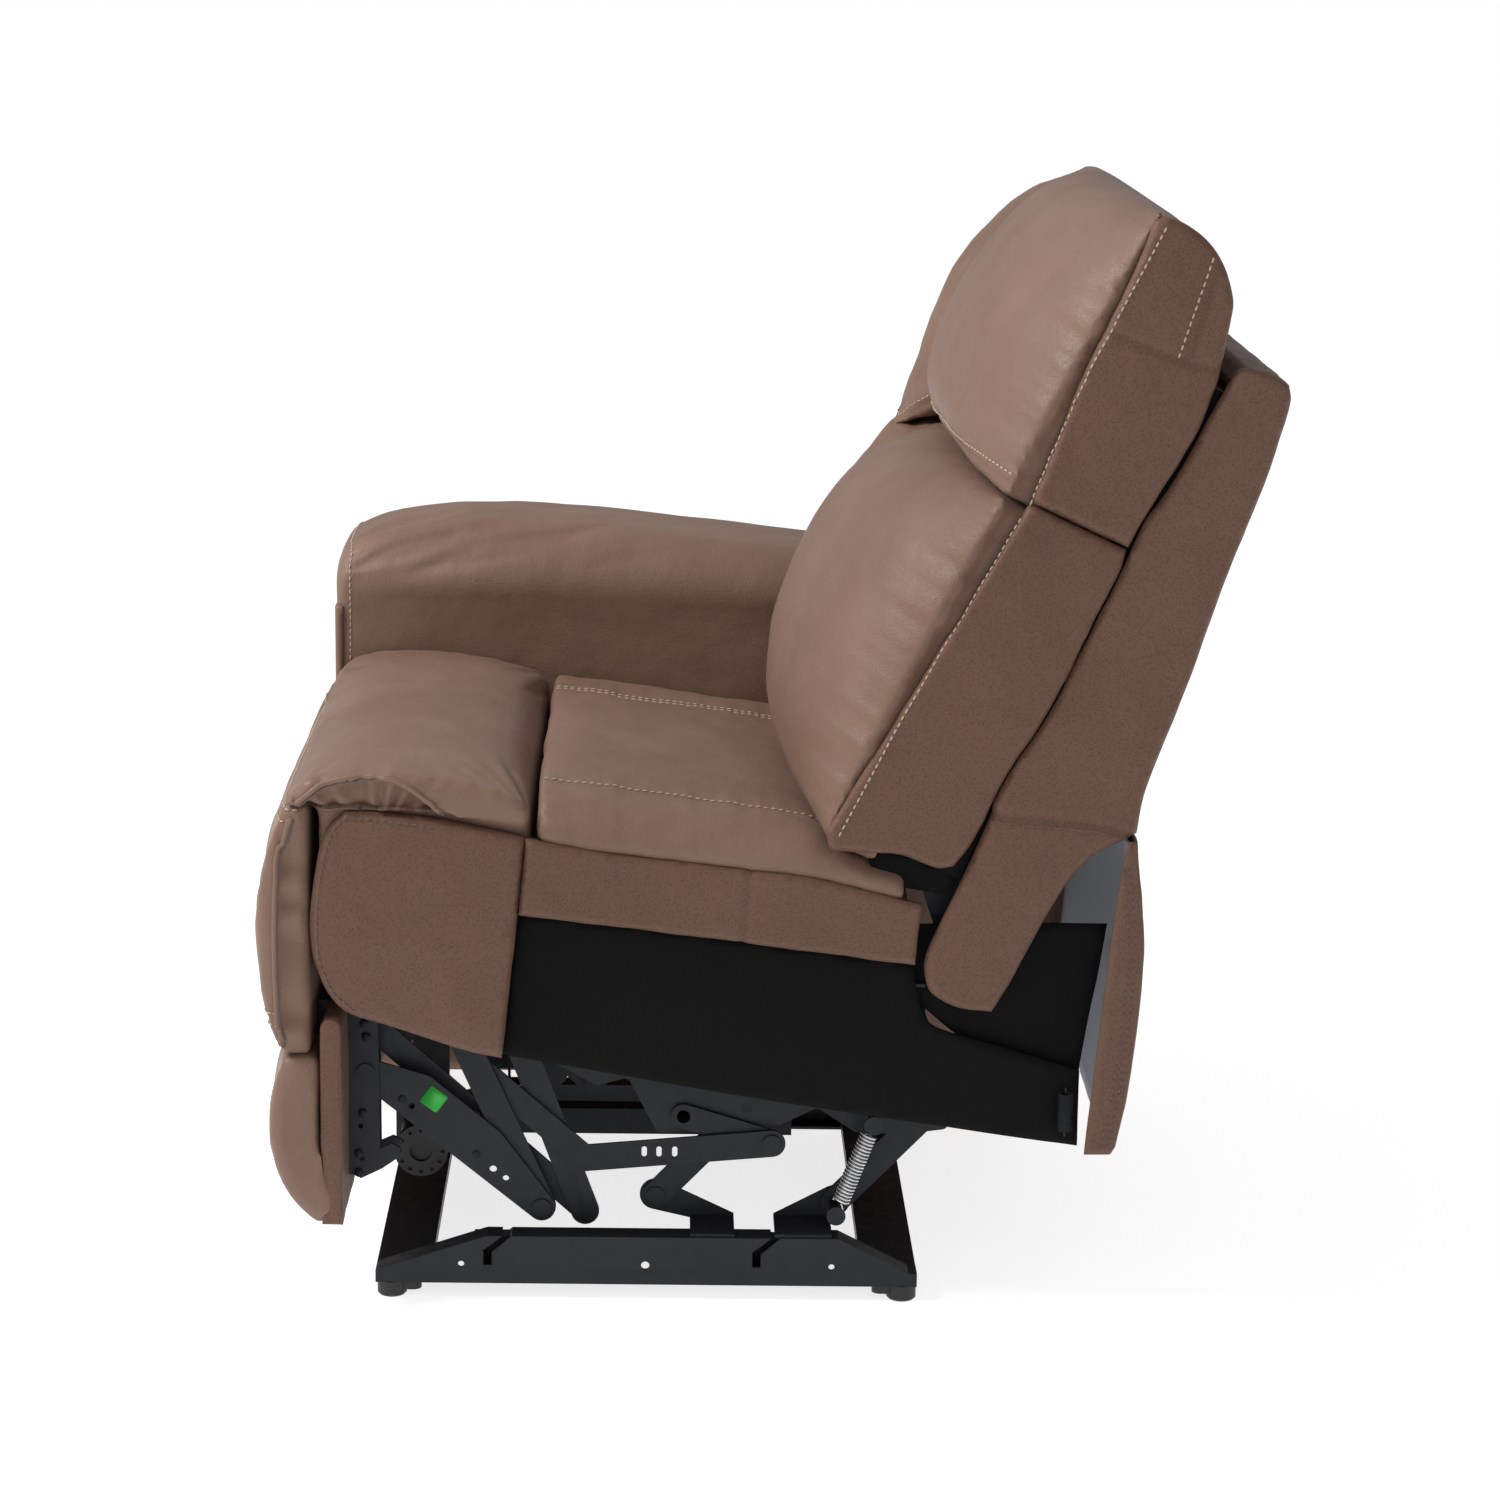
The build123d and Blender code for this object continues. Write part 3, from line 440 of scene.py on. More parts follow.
def settle(piece):
    """Apply a piece's modifiers to its mesh."""
    graph = bpy.context.evaluated_depsgraph_get()
    mesh = bpy.data.meshes.new_from_object(piece.evaluated_get(graph))
    piece.modifiers.clear()
    old = piece.data
    piece.data = mesh
    mesh.name = piece.name
    bpy.data.meshes.remove(old)
    mesh.shade_smooth()
    return piece


def even_skin(piece, size):
    """Even quads all over, softly smoothed."""
    remesh = piece.modifiers.new("even", "REMESH")
    remesh.mode = "VOXEL"
    remesh.voxel_size = size
    smooth = piece.modifiers.new("soften", "SMOOTH")
    smooth.factor = 0.5
    smooth.iterations = 3
    return settle(piece)


def filled(piece, held, reach):
    """Blow the cover up like stuffing does.

    held gives each point's grip, and no point moves further than reach.
    """
    pressure, frames = 4.0, 20
    scene = bpy.context.scene
    group = piece.vertex_groups.new(name="held")
    rest = [v.co.copy() for v in piece.data.vertices]
    for i, point in enumerate(rest):
        group.add([i], held(point), "REPLACE")
    cloth = piece.modifiers.new("filling", "CLOTH")
    cloth.settings.use_pressure = True
    cloth.settings.uniform_pressure_force = pressure
    cloth.settings.vertex_group_mass = "held"
    cloth.settings.effector_weights.gravity = 0
    cloth.settings.quality = 4
    cloth.settings.tension_stiffness = 25
    cloth.settings.compression_stiffness = 25
    cloth.settings.bending_stiffness = 1.5
    cloth.point_cache.frame_start = 1
    cloth.point_cache.frame_end = frames
    for number in range(1, frames + 1):
        scene.frame_set(number)
    graph = bpy.context.evaluated_depsgraph_get()
    swollen = piece.evaluated_get(graph).to_mesh()
    moved = []
    for start, vertex in zip(rest, swollen.vertices):
        step = vertex.co - start
        if step.length > reach:
            step *= reach / step.length
        moved.append(start + step)
    piece.evaluated_get(graph).to_mesh_clear()
    piece.modifiers.clear()
    piece.vertex_groups.clear()
    for vertex, place in zip(piece.data.vertices, moved):
        vertex.co = place
    scene.frame_set(1)
    return piece


def finer(piece):
    """One step of subdivision."""
    step = piece.modifiers.new("finer", "SUBSURF")
    step.levels = 1
    step.render_levels = 1
    return settle(piece)


def tree_of(points):
    """Lookup of the nearest of many points."""
    tree = kdtree.KDTree(len(points))
    for i, point in enumerate(points):
        tree.insert(point, i)
    tree.balance()
    return tree


def dense(points, step=0.002):
    """Points closely spaced along an open line."""
    return smooth_line(points, step, closed=False, corner=60.0)


def press_seams(piece, lines, depth, width):
    """Sink the skin along sewn lines."""
    tree = tree_of([p for line in lines for p in line])
    normals = [v.normal.copy() for v in piece.data.vertices]
    for vertex, normal in zip(piece.data.vertices, normals):
        gap = tree.find(vertex.co)[2]
        if gap < 4 * width:
            vertex.co -= normal * depth * math.exp(-((gap / width) ** 2))
    return piece


def laid_on(piece, points, lift=0.0):
    """The points moved onto a piece's skin, and up from it by lift."""
    tree = BVHTree.FromObject(piece, bpy.context.evaluated_depsgraph_get())
    found = []
    for point in points:
        place, normal = tree.find_nearest(point)[:2]
        found.append(place + normal * lift)
    return found


def ruffle(piece, amount, size, seed, where=None):
    """Small uneven swells of the skin."""
    shift = Vector((seed, seed * 2, seed * 3))
    normals = [v.normal.copy() for v in piece.data.vertices]
    for vertex, normal in zip(piece.data.vertices, normals):
        share = 1.0 if where is None else where(vertex.co)
        if share > 0:
            height = noise.fractal(vertex.co / size + shift, 1.0, 2.0, 3)
            vertex.co += normal * amount * share * height
    return piece


def clamp(value):
    """The value kept between 0 and 1."""
    return max(0.0, min(1.0, value))


def keyed(keys, at):
    """Straight-line value between (place, value) keys."""
    if at <= keys[0][0]:
        return keys[0][1]
    for (a, low), (b, high) in zip(keys, keys[1:]):
        if at <= b:
            share = (at - a) / (b - a)
            return low + (high - low) * share
    return keys[-1][1]


def smooth_keys(keys):
    """(place, value) keys in millimetres, made dense on a smooth line."""
    line = smooth_line([Vector((a, b)) for a, b in keys], 3.0, closed=False, corner=75.0)
    return [(p.x, p.y) for p in line]


# ---------------------------------------------------------------- repeated details, by Geometry Nodes

class Chain:
    """A Geometry Nodes tree being made: geometry, named numbers and a finish in, one mesh out."""

    def __init__(self, name, *numbers):
        self.tree = bpy.data.node_groups.new(name, "GeometryNodeTree")
        kinds = [("Geometry", "Geometry"), *((label, "Float") for label in numbers), ("Finish", "Material")]
        for label, kind in kinds:
            self.tree.interface.new_socket(label, in_out="INPUT", socket_type=f"NodeSocket{kind}")
        self.tree.interface.new_socket("Geometry", in_out="OUTPUT", socket_type="NodeSocketGeometry")
        self.given = self.tree.nodes.new("NodeGroupInput").outputs
        self.output = self.tree.nodes.new("NodeGroupOutput").inputs[0]

    def put(self, kind, feeds=None, **settings):
        """Add a node. feeds gives its sockets a number or another node's output."""
        node = self.tree.nodes.new(kind)
        for key, value in settings.items():
            setattr(node, key, value)
        for socket, feed in (feeds or {}).items():
            if isinstance(feed, bpy.types.NodeSocket):
                self.tree.links.new(feed, node.inputs[socket])
            else:
                node.inputs[socket].default_value = feed
        return node.outputs[0]

    def end(self, last):
        """Realize Instances and Set Material, then the tree's output."""
        real = self.put("GeometryNodeRealizeInstances", {0: last})
        finish = self.put("GeometryNodeSetMaterial", {"Geometry": real, "Material": self.given["Finish"]})
        self.tree.links.new(finish, self.output)
        return self.tree


def stitch_tree():
    """A row of slim thread loops along an edge path."""
    made = Chain("stitch_row", "Pitch", "Length", "Thickness")
    curve = made.put("GeometryNodeMeshToCurve", {0: made.given["Geometry"]})
    even = made.put("GeometryNodeResampleCurve", {"Curve": curve, "Length": made.given["Pitch"]}, mode="LENGTH")
    loop = made.put("GeometryNodeMeshUVSphere", {"Segments": 6, "Rings": 5, "Radius": 0.5})
    thick, length = made.given["Thickness"], made.given["Length"]
    size = made.put("ShaderNodeCombineXYZ", {0: thick, 1: thick, 2: length})
    tangent = made.put("GeometryNodeInputTangent")
    turn = made.put("FunctionNodeAlignRotationToVector", {"Vector": tangent}, axis="Z")
    feeds = {"Points": even, "Instance": loop, "Rotation": turn, "Scale": size}
    return made.end(made.put("GeometryNodeInstanceOnPoints", feeds))


def tube(made, curve, radius, sides):
    """Closed round tube along a curve."""
    ring = made.put("GeometryNodeCurvePrimitiveCircle", {"Resolution": sides, "Radius": radius})
    feeds = {"Curve": curve, "Profile Curve": ring, "Fill Caps": True}
    return made.end(made.put("GeometryNodeCurveToMesh", feeds))


def cord_tree():
    """A round cord along an edge path."""
    made = Chain("piping_cord", "Radius")
    return tube(made, made.put("GeometryNodeMeshToCurve", {0: made.given["Geometry"]}), made.given["Radius"], 10)


def spring_tree():
    """A coil that stands on the origin."""
    made = Chain("coil_spring", "Turns", "Radius", "Height", "Wire")
    radius = made.given["Radius"]
    feeds = {"Resolution": 18, "Rotations": made.given["Turns"], "Start Radius": radius, "End Radius": radius}
    spiral = made.put("GeometryNodeCurveSpiral", {**feeds, "Height": made.given["Height"]})
    return tube(made, spiral, made.given["Wire"], 8)


def button_head_tree():
    """Domed rivet heads on points, standing along X."""
    made = Chain("rivet_heads", "Radius", "Height")
    dome = made.put("GeometryNodeMeshUVSphere", {"Segments": 14, "Rings": 8, "Radius": 1.0})
    radius, height = made.given["Radius"], made.given["Height"]
    size = made.put("ShaderNodeCombineXYZ", {0: height, 1: radius, 2: radius})
    feeds = {"Points": made.given["Geometry"], "Instance": dome, "Scale": size}
    return made.end(made.put("GeometryNodeInstanceOnPoints", feeds))


def grown(name, tree, points, edges, values, finish):
    """Run a tree on a path or points and keep the result as a plain mesh."""
    mesh = bpy.data.meshes.new(name)
    mesh.from_pydata([tuple(p) for p in points], edges, [])
    piece = bpy.data.objects.new(name, mesh)
    bpy.context.scene.collection.objects.link(piece)
    modifier = piece.modifiers.new(tree.name, "NODES")
    modifier.node_group = tree
    sockets = {s.name: s.identifier for s in tree.interface.items_tree if s.in_out == "INPUT"}
    for label, value in values.items():
        modifier[sockets[label]] = value
    modifier[sockets["Finish"]] = finish
    piece.update_tag()
    bpy.context.view_layer.update()
    return settle(piece)


def paths_piece(name, tree, paths, values, finish):
    """One piece from several open paths."""
    points, edges = [], []
    for path in paths:
        base = len(points)
        points += path
        edges += [(base + i, base + i + 1) for i in range(len(path) - 1)]
    return grown(name, tree, points, edges, values, finish)


# ---------------------------------------------------------------- the chair's pieces

look((3.7573, -0.08885, 1.3117), 12.92, 0.55, 91.2, 0.0573)
studio()

SMOOTH = leather("smooth_brown_hide", (0.214, 0.130, 0.094), (0.168, 0.096, 0.066), 0.0020, 0.14, 0.0010)
# The pebbled hide's colours hold painted shade: they are set darker than the smooth hide's for the side panels,
# which face away from the key light. Its pebbled grain and dark pores are the hide's own.
PEBBLED_HIDE_PAINTED_SHADE = leather("pebbled_brown_hide_painted_shade", (0.138, 0.070, 0.046), (0.116, 0.057, 0.036), 0.0027, 0.58, 0.0006)
CLOTH = felt_cloth("black_dust_cloth")
STEEL = coated_steel("black_powder_coat", (0.0065, 0.0072, 0.009), (0.011, 0.012, 0.0145), 0.40)
ZINC = bright_zinc("zinc_plate")
PLASTIC = moulded("black_moulding", (0.008, 0.008, 0.009), (0.014, 0.014, 0.015), 0.5)
WOOD = raw_wood("sawn_softwood")
CREAM = thread("cream_thread", (0.50, 0.38, 0.28))
DARK_THREAD = thread("brown_thread", (0.10, 0.06, 0.045))
PALE_LINING = plain("pale_lining", (0.50, 0.55, 0.62), 0.9)
STICKER = plain("green_sticker", (0.03, 0.42, 0.05), 0.5)
FINISHES = {
    "smooth_leather": SMOOTH, "grained_leather": PEBBLED_HIDE_PAINTED_SHADE, "black_cloth": CLOTH, "black_steel": STEEL,
    "zinc_steel": ZINC, "black_plastic": PLASTIC, "wood": WOOD,
}
for node in nodes.values():
    for slot in node.material_slots:
        slot.material = FINISHES[slot.material.name.split(".")[0]]

STITCHES = stitch_tree()
PIPING = cord_tree()
COIL = spring_tree()
RIVETS = button_head_tree()
THREAD_SIZE = {"Pitch": 0.0070, "Length": 0.0052, "Thickness": 0.0019}


def fitted(piece, body, finish, slot, *replaced):
    """Give a finished piece its finish and its body, and hide the CAD nodes that it stands for."""
    if not piece.data.materials:
        piece.data.materials.append(finish)
    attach(piece, body)
    if replaced:
        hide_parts(*replaced)
    return piece


def stitched(name, body, onto, paths, finish=None):
    """Rows of stitches laid on a piece."""
    rows = [laid_on(onto, dense([Vector(p) for p in path]), 0.0003) for path in paths]
    piece = paths_piece(name, STITCHES, rows, THREAD_SIZE, finish or CREAM)
    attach(piece, body)
    return piece


# Sunken seams of a panel, and its row spacing in cells.
SEAM_DEPTH = 0.0030
SEAM_WIDTH = 0.0030
ROW = 0.87


def leather_panel(loop, outer, inner, edge, puff, step, seams=()):
    """Shell of a padded flat panel whose outer face is at x = outer, with rolled edges and sunken seams."""
    side = 1.0 if outer > inner else -1.0
    rim = smooth_line([p.to_3d() for p in loop], step)
    rim = [p.to_2d() for p in rim]
    fine = tree_of([p.to_3d() for p in smooth_line([q.to_3d() for q in rim], step / 4)])
    low = Vector((min(p.x for p in rim), min(p.y for p in rim)))
    high = Vector((max(p.x for p in rim), max(p.y for p in rim)))
    inside = []
    rows = int((high.y - low.y) / (step * ROW)) + 1
    for r in range(rows):
        y = low.y + r * step * ROW
        crossings = []
        for a, b in zip(rim, rim[1:] + rim[:1]):
            if (a.y > y) != (b.y > y):
                crossings.append(a.x + (y - a.y) / (b.y - a.y) * (b.x - a.x))
        crossings.sort()
        for start, end in zip(crossings[::2], crossings[1::2]):
            k = math.ceil((start - low.x) / step)
            while low.x + (k + 0.5 * (r % 2)) * step < end:
                point = Vector((low.x + (k + 0.5 * (r % 2)) * step, y))
                if point.x > start and fine.find(point.to_3d())[2] > 0.45 * step:
                    inside.append(point)
                k += 1
    count = len(rim)
    edges = [(i, (i + 1) % count) for i in range(count)]
    flat, triangles = geometry.delaunay_2d_cdt(rim + inside, edges, [], 1, 1e-7)[:3:2]
    seam_tree = tree_of([p for seam in seams for p in seam]) if seams else None
    front = []
    for point in flat:
        gap = min(fine.find(point.to_3d())[2], 0.2)
        fold = max(0.0, 1 - gap / edge)
        height = outer - side * edge * (1 - math.sqrt(max(0.0, 1 - fold**2)))
        height += side * puff * (1 - math.exp(-gap / 0.03))
        if seam_tree:
            near = seam_tree.find(Vector((0, point.x, point.y)))[2]
            height -= side * SEAM_DEPTH * math.exp(-((near / SEAM_WIDTH) ** 2))
        front.append((height, point.x, point.y))
    vertices = front + [(inner, p.x, p.y) for p in rim]
    base = len(front)
    faces = [tuple(t) for t in triangles]
    faces += [(a, b, base + b, base + a) for a, b in edges]
    faces.append(tuple(base + i for i in range(count)))
    return vertices, faces


def mirrored(x):
    """The same place on the other side of the seat."""
    return 2 * MIDDLE - x


def side_line(points, x):
    """Side-plane points in millimetres, as points at x."""
    return [Vector((x, y * MM, z * MM)) for y, z in points]


def flat_loop(points):
    """Side-plane points in millimetres, as flat points."""
    return [Vector(p) * MM for p in points]


def both_panels(name, node, puff, seams=(), depth=0.013, swaps=()):
    """A CAD band or wing on both sides, as one padded piece. swaps move single corners of its outline."""
    edge, step = 0.005, PANEL_STEP
    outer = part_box(node)[1].x
    inner = outer - depth
    loop = end_outline(node)
    for old, new in swaps:
        corner = min(loop, key=lambda p: (p - Vector(old) * MM).length)
        corner.xy = Vector(new) * MM
    flat = [[Vector((0, p.y, p.z)) for p in seam] for seam in seams]
    near = leather_panel(loop, outer, inner, edge, puff, step, flat)
    far = leather_panel(loop, mirrored(outer), mirrored(inner), edge, puff, step, flat)
    return joined(name, [near, far])


def bolster(loop, low, high, edge, step, bulge=None):
    """Skin of a shape that runs across the seat, with rounded ends. bulge moves each point."""
    loop = [p.to_2d() for p in smooth_line([q.to_3d() for q in loop], step)]
    ways = inward(loop)
    turns = [math.radians(angle) for angle in (0, 22, 45, 68)]
    rounding = [(edge * (1 - math.cos(turn)), edge * (1 - math.sin(turn))) for turn in turns]
    stations = [(low + out, tuck) for out, tuck in rounding]
    count = max(2, int((high - low - 2 * edge) / step))
    stations += [(low + edge + (high - low - 2 * edge) * k / count, 0.0) for k in range(count + 1)]
    stations += [(high - out, tuck) for out, tuck in reversed(rounding)]
    rings = []
    for x, tuck in stations:
        ring = [Vector((x, *(p + way * tuck))) for p, way in zip(loop, ways)]
        rings.append([bulge(p) for p in ring] if bulge else ring)
    return closed_loft(rings)


# ---- back cushions

def back_place(x, along, behind):
    """A point of the back, in metres along and behind its front seam."""
    return Vector((x, BACK_CORNER.y, BACK_CORNER.z)) + UP_BACK * along + BEHIND * behind


def crown_share(x):
    """How full the cushion is across its width, from 0 at the side seams to 1."""
    across = clamp(abs(x - MIDDLE) / HALF)
    return (1 - across**2.2) ** 0.78


# The seam under the head cushion: its place up the back, and how far it drops beside the arm.
LOW_SEAM = 356
CREASE_DROP = 48.0


def far_share(x):
    """Weight of the fuller strip beside the arm, from 0 over the crown to 1."""
    rise = clamp((-0.070 - x) / 0.065)
    return rise * rise * (3 - 2 * rise)


def back_pillow(crown, rear, far_crown, bottom_lip):
    """Closed skin of a back cushion. crown, rear and far_crown are (along, millimetres) keys."""
    crown, rear, far_crown = (smooth_keys(keys) for keys in (crown, rear, far_crown))
    first, last = crown[0][0], crown[-1][0]
    inset = 0.013
    rings = []
    count = int((last - first) / 5)
    for k in range(count + 1):
        along = first + (last - first) * k / count
        full, back = keyed(crown, along), keyed(rear, along)
        ring = []
        for s in range(57):
            x = NEAR - 0.0015 - (2 * HALF - 0.003) * s / 56
            share = crown_share(x)
            wing = far_share(x)
            edge = clamp((x - FAR - 0.0015) / 0.016)
            fuller = full * share * (1 - wing) + keyed(far_crown, along) * wing * math.sqrt(1 - (1 - edge) ** 2)
            drop = CREASE_DROP * wing * edge
            if bottom_lip:
                lift = bottom_lip * (1 - share) * clamp(1 - (along - first) / 40)
                lift -= 0.76 * drop * clamp((along - 160) / 180)
            else:
                lift = -drop * clamp(1 - (along - first) / 200)
            ring.append(back_place(x, (along + lift) * MM, (2.0 - fuller) * MM))
        for x, behind in ((FAR + inset, 4.0), (FAR + inset, back), (NEAR - inset, back), (NEAR - inset, 4.0)):
            ring.append(back_place(x, along * MM, max(behind, 4.0) * MM))
        rings.append(ring)
    return closed_loft(rings)


LUMBAR_CROWN = ((-8, 14), (-2, 30), (10, 50), (34, 70), (62, 86), (100, 99), (150, 106), (200, 107), (245, 103),
                (280, 92), (305, 76), (325, 55), (338, 36), (343, 24))
LUMBAR_REAR = ((-8, 56), (343, 56))
LUMBAR_FAR = ((-8, 14), (20, 46), (60, 70), (152, 82), (226, 77), (291, 68), (343, 62))
HEAD_FAR = ((346, 62), (400, 68), (438, 73), (492, 78), (551, 63), (590, 40), (613, 17), (631, 4))
HEAD_CROWN = ((346, 28), (351, 48), (360, 62), (376, 74), (400, 81), (440, 86), (490, 86), (540, 80), (575, 70),
              (600, 56), (614, 42), (624, 26), (631, 8))
HEAD_REAR = ((346, 60), (362, 99), (540, 99), (592, 96), (612, 76), (624, 56), (631, 30))


def near_seam(x):
    """Share of the grip beside the side seams, where the cover is sewn to its bands."""
    return clamp(1 - (HALF - abs(x - MIDDLE) - 0.004) / 0.02)


def back_grip(point):
    """Held at the sides and at the rear, free over the crown."""
    behind = (point - BACK_CORNER).dot(BEHIND)
    return max(clamp((behind + 0.004) / 0.02), near_seam(point.x))


def seam_creases(piece, tree, amount, reach, size, seed):
    """Short puckers that fade away from sewn lines."""
    normals = [v.normal.copy() for v in piece.data.vertices]
    for vertex, normal in zip(piece.data.vertices, normals):
        place, gap = tree.find(vertex.co)[::2]
        if gap < 3 * reach:
            spot = Vector((place.x / size + seed, place.y / size, place.z / size))
            wave = noise.fractal(spot, 1.0, 2.0, 2)
            share = math.exp(-gap / reach) * clamp(gap / 0.006)
            vertex.co += normal * amount * wave * share
    return piece


FRONT_SEAMS = [[back_place(x, a * MM, 1 * MM) for a in range(0, 624, 4)] for x in (NEAR - 0.001, FAR + 0.001)]


def back_cushions():
    """Lower and upper back cushions with their sewn edges."""
    lumbar = joined("lumbar_cushion_cover", [back_pillow(LUMBAR_CROWN, LUMBAR_REAR, LUMBAR_FAR, 9.0)])
    head = joined("head_cushion_cover", [back_pillow(HEAD_CROWN, HEAD_REAR, HEAD_FAR, 0.0)])
    seams = tree_of(FRONT_SEAMS[0] + FRONT_SEAMS[1])
    for piece, seed in ((lumbar, 3.0), (head, 11.0)):
        even_skin(piece, SKIN)
        filled(piece, back_grip, 0.022)
        finer(piece)
        ruffle(piece, SWELL, 0.09, seed, lambda p: clamp(-(p - BACK_CORNER).dot(BEHIND) / 0.02))
        seam_creases(piece, seams, 0.0042, 0.045, 0.022, seed)
        press_seams(piece, FRONT_SEAMS, 0.0012, 0.003)
    low_seam = []
    for k in range(61):
        x = FAR + 0.01 + (2 * HALF - 0.02) * k / 60
        wing = far_share(x)
        full = keyed(smooth_keys(HEAD_CROWN), LOW_SEAM) * crown_share(x) * (1 - wing) + 63 * wing
        low_seam.append(back_place(x, (LOW_SEAM - CREASE_DROP * wing) * MM, -full * MM))
    press_seams(head, [laid_on(head, dense(low_seam))], 0.0014, 0.003)
    fitted(lumbar, "back", SMOOTH, "smooth_leather", "lumbar_cushion")
    fitted(head, "headrest", SMOOTH, "smooth_leather", "head_cushion")
    row = [p + UP_BACK * 0.010 for p in low_seam]
    stitched("head_low_seam_stitches", "headrest", head, [row])


def back_bands():
    """Side bands of both cushions, with their topstitching and cross seams."""
    swaps = ((320, 724), (321.5, 731)), ((222, 742), (235.5, 771))
    lumbar = both_panels("lumbar_side_bands", "lumbar_sides", 0.0, swaps=swaps)
    cross = dense(side_line(((306, 924), (340, 911), (371, 900), (400, 893)), 0))
    rise = dense(side_line(((397, 990), (384, 948), (371, 903)), 0))
    swaps = ((326, 741), (323.5, 733.5)), ((254, 834), (237, 773.5))
    head = both_panels("head_side_bands", "head_sides", 0.001, (cross, rise), swaps=swaps)
    for piece in (lumbar, head):
        ruffle(piece, 0.0012, 0.05, 5.0)
    fitted(lumbar, "back", PEBBLED_HIDE_PAINTED_SHADE, "grained_leather", "lumbar_sides")
    fitted(head, "headrest", PEBBLED_HIDE_PAINTED_SHADE, "grained_leather", "head_sides")
    for x, label in ((NEAR, "near"), (FAR, "far")):
        low = [back_place(x, a * MM, 11 * MM) for a in (6, 60, 120, 180, 240, 300, 334)]
        high = [back_place(x, a * MM, 11 * MM) for a in (350, 400, 460, 520, 570, 618)]
        second = side_line(((388, 990), (375, 948), (362, 906)), x)
        stitched(f"lumbar_band_stitches_{label}", "back", lumbar, [low])
        stitched(f"head_band_stitches_{label}", "headrest", head, [high, second])


def back_shell():
    """Wings, rear panel, and their seams."""
    leg = dense(side_line(((207, 487), (240, 484), (306, 478), (338, 468)), 0))
    wings = both_panels("back_wing_panels", "back_wings", 0.001, (leg,), 0.011)
    ruffle(wings, 0.0012, 0.08, 2.0)
    fitted(wings, "back", PEBBLED_HIDE_PAINTED_SHADE, "grained_leather", "back_wings")
    for x, label in ((NEAR, "near"), (FAR, "far")):
        row = side_line(((209, 481), (240, 478), (306, 472), (334, 463)), x)
        stitched(f"leg_seam_stitches_{label}", "back", wings, [row], DARK_THREAD)
    low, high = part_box("outer_back")
    middle = (low.z + high.z) / 2

    def dome(point):
        share = clamp(1 - ((point.x - MIDDLE) / HALF) ** 2) * clamp(1 - ((point.z - middle) / 0.24) ** 2)
        return point + BEHIND * 0.006 * share * clamp((point - BACK_CORNER).dot(BEHIND) / 0.05)

    panel = joined("rear_panel", [bolster(end_outline("outer_back"), low.x, high.x, 0.004, 0.007, dome)])
    rise = (346, 505), (379, 598), (407, 690), (431, 757), (455, 831), (463, 862)
    seams = [side_line(rise, x) for x in (low.x + 0.045, high.x - 0.045)]
    dense_seams = [laid_on(panel, dense(seam)) for seam in seams]
    press_seams(panel, dense_seams, 0.0016, 0.004)
    ruffle(panel, 0.0014, 0.07, 8.0)
    fitted(panel, "back", PEBBLED_HIDE_PAINTED_SHADE, "grained_leather", "outer_back")
    rows = [[p + Vector((shift, 0, 0)) for p in seam] for seam in seams for shift in (-0.008, 0.008)]
    stitched("rear_panel_stitches", "back", panel, rows)


# ---- seat

SEAT_TOP = ((-205, 497), (-150, 491), (-60, 479), (48, 464), (70, 452), (100, 441), (136, 431))
SEAT_SEAM = ((-205, 459.5), (-169, 452.5), (-124, 446.5), (-73, 440.5), (-8, 432.5), (50, 425.5), (100, 413.5),
             (136, 405))


def seat_top(x, y):
    """Height of the seat's skin, falling over rounded edges at both sides."""
    top, seam = keyed(SEAT_TOP, y), keyed(SEAT_SEAM, y)
    near = clamp((x - (NEAR * 1000 - 1 - 46)) / 46)
    far = clamp(((FAR * 1000 + 1 + 20) - x) / 20)
    height = seam + (top - seam) * math.sqrt(max(0.0, 1 - near**2.2))
    if far > 0:
        height = top - 24 + 24 * math.sqrt(max(0.0, 1 - far**2.2))
    return height


# Where the two lengthwise seams run, in millimetres across.
SEAT_SEAMS = NEAR * 1000 - 84.0, FAR * 1000 + 92.0


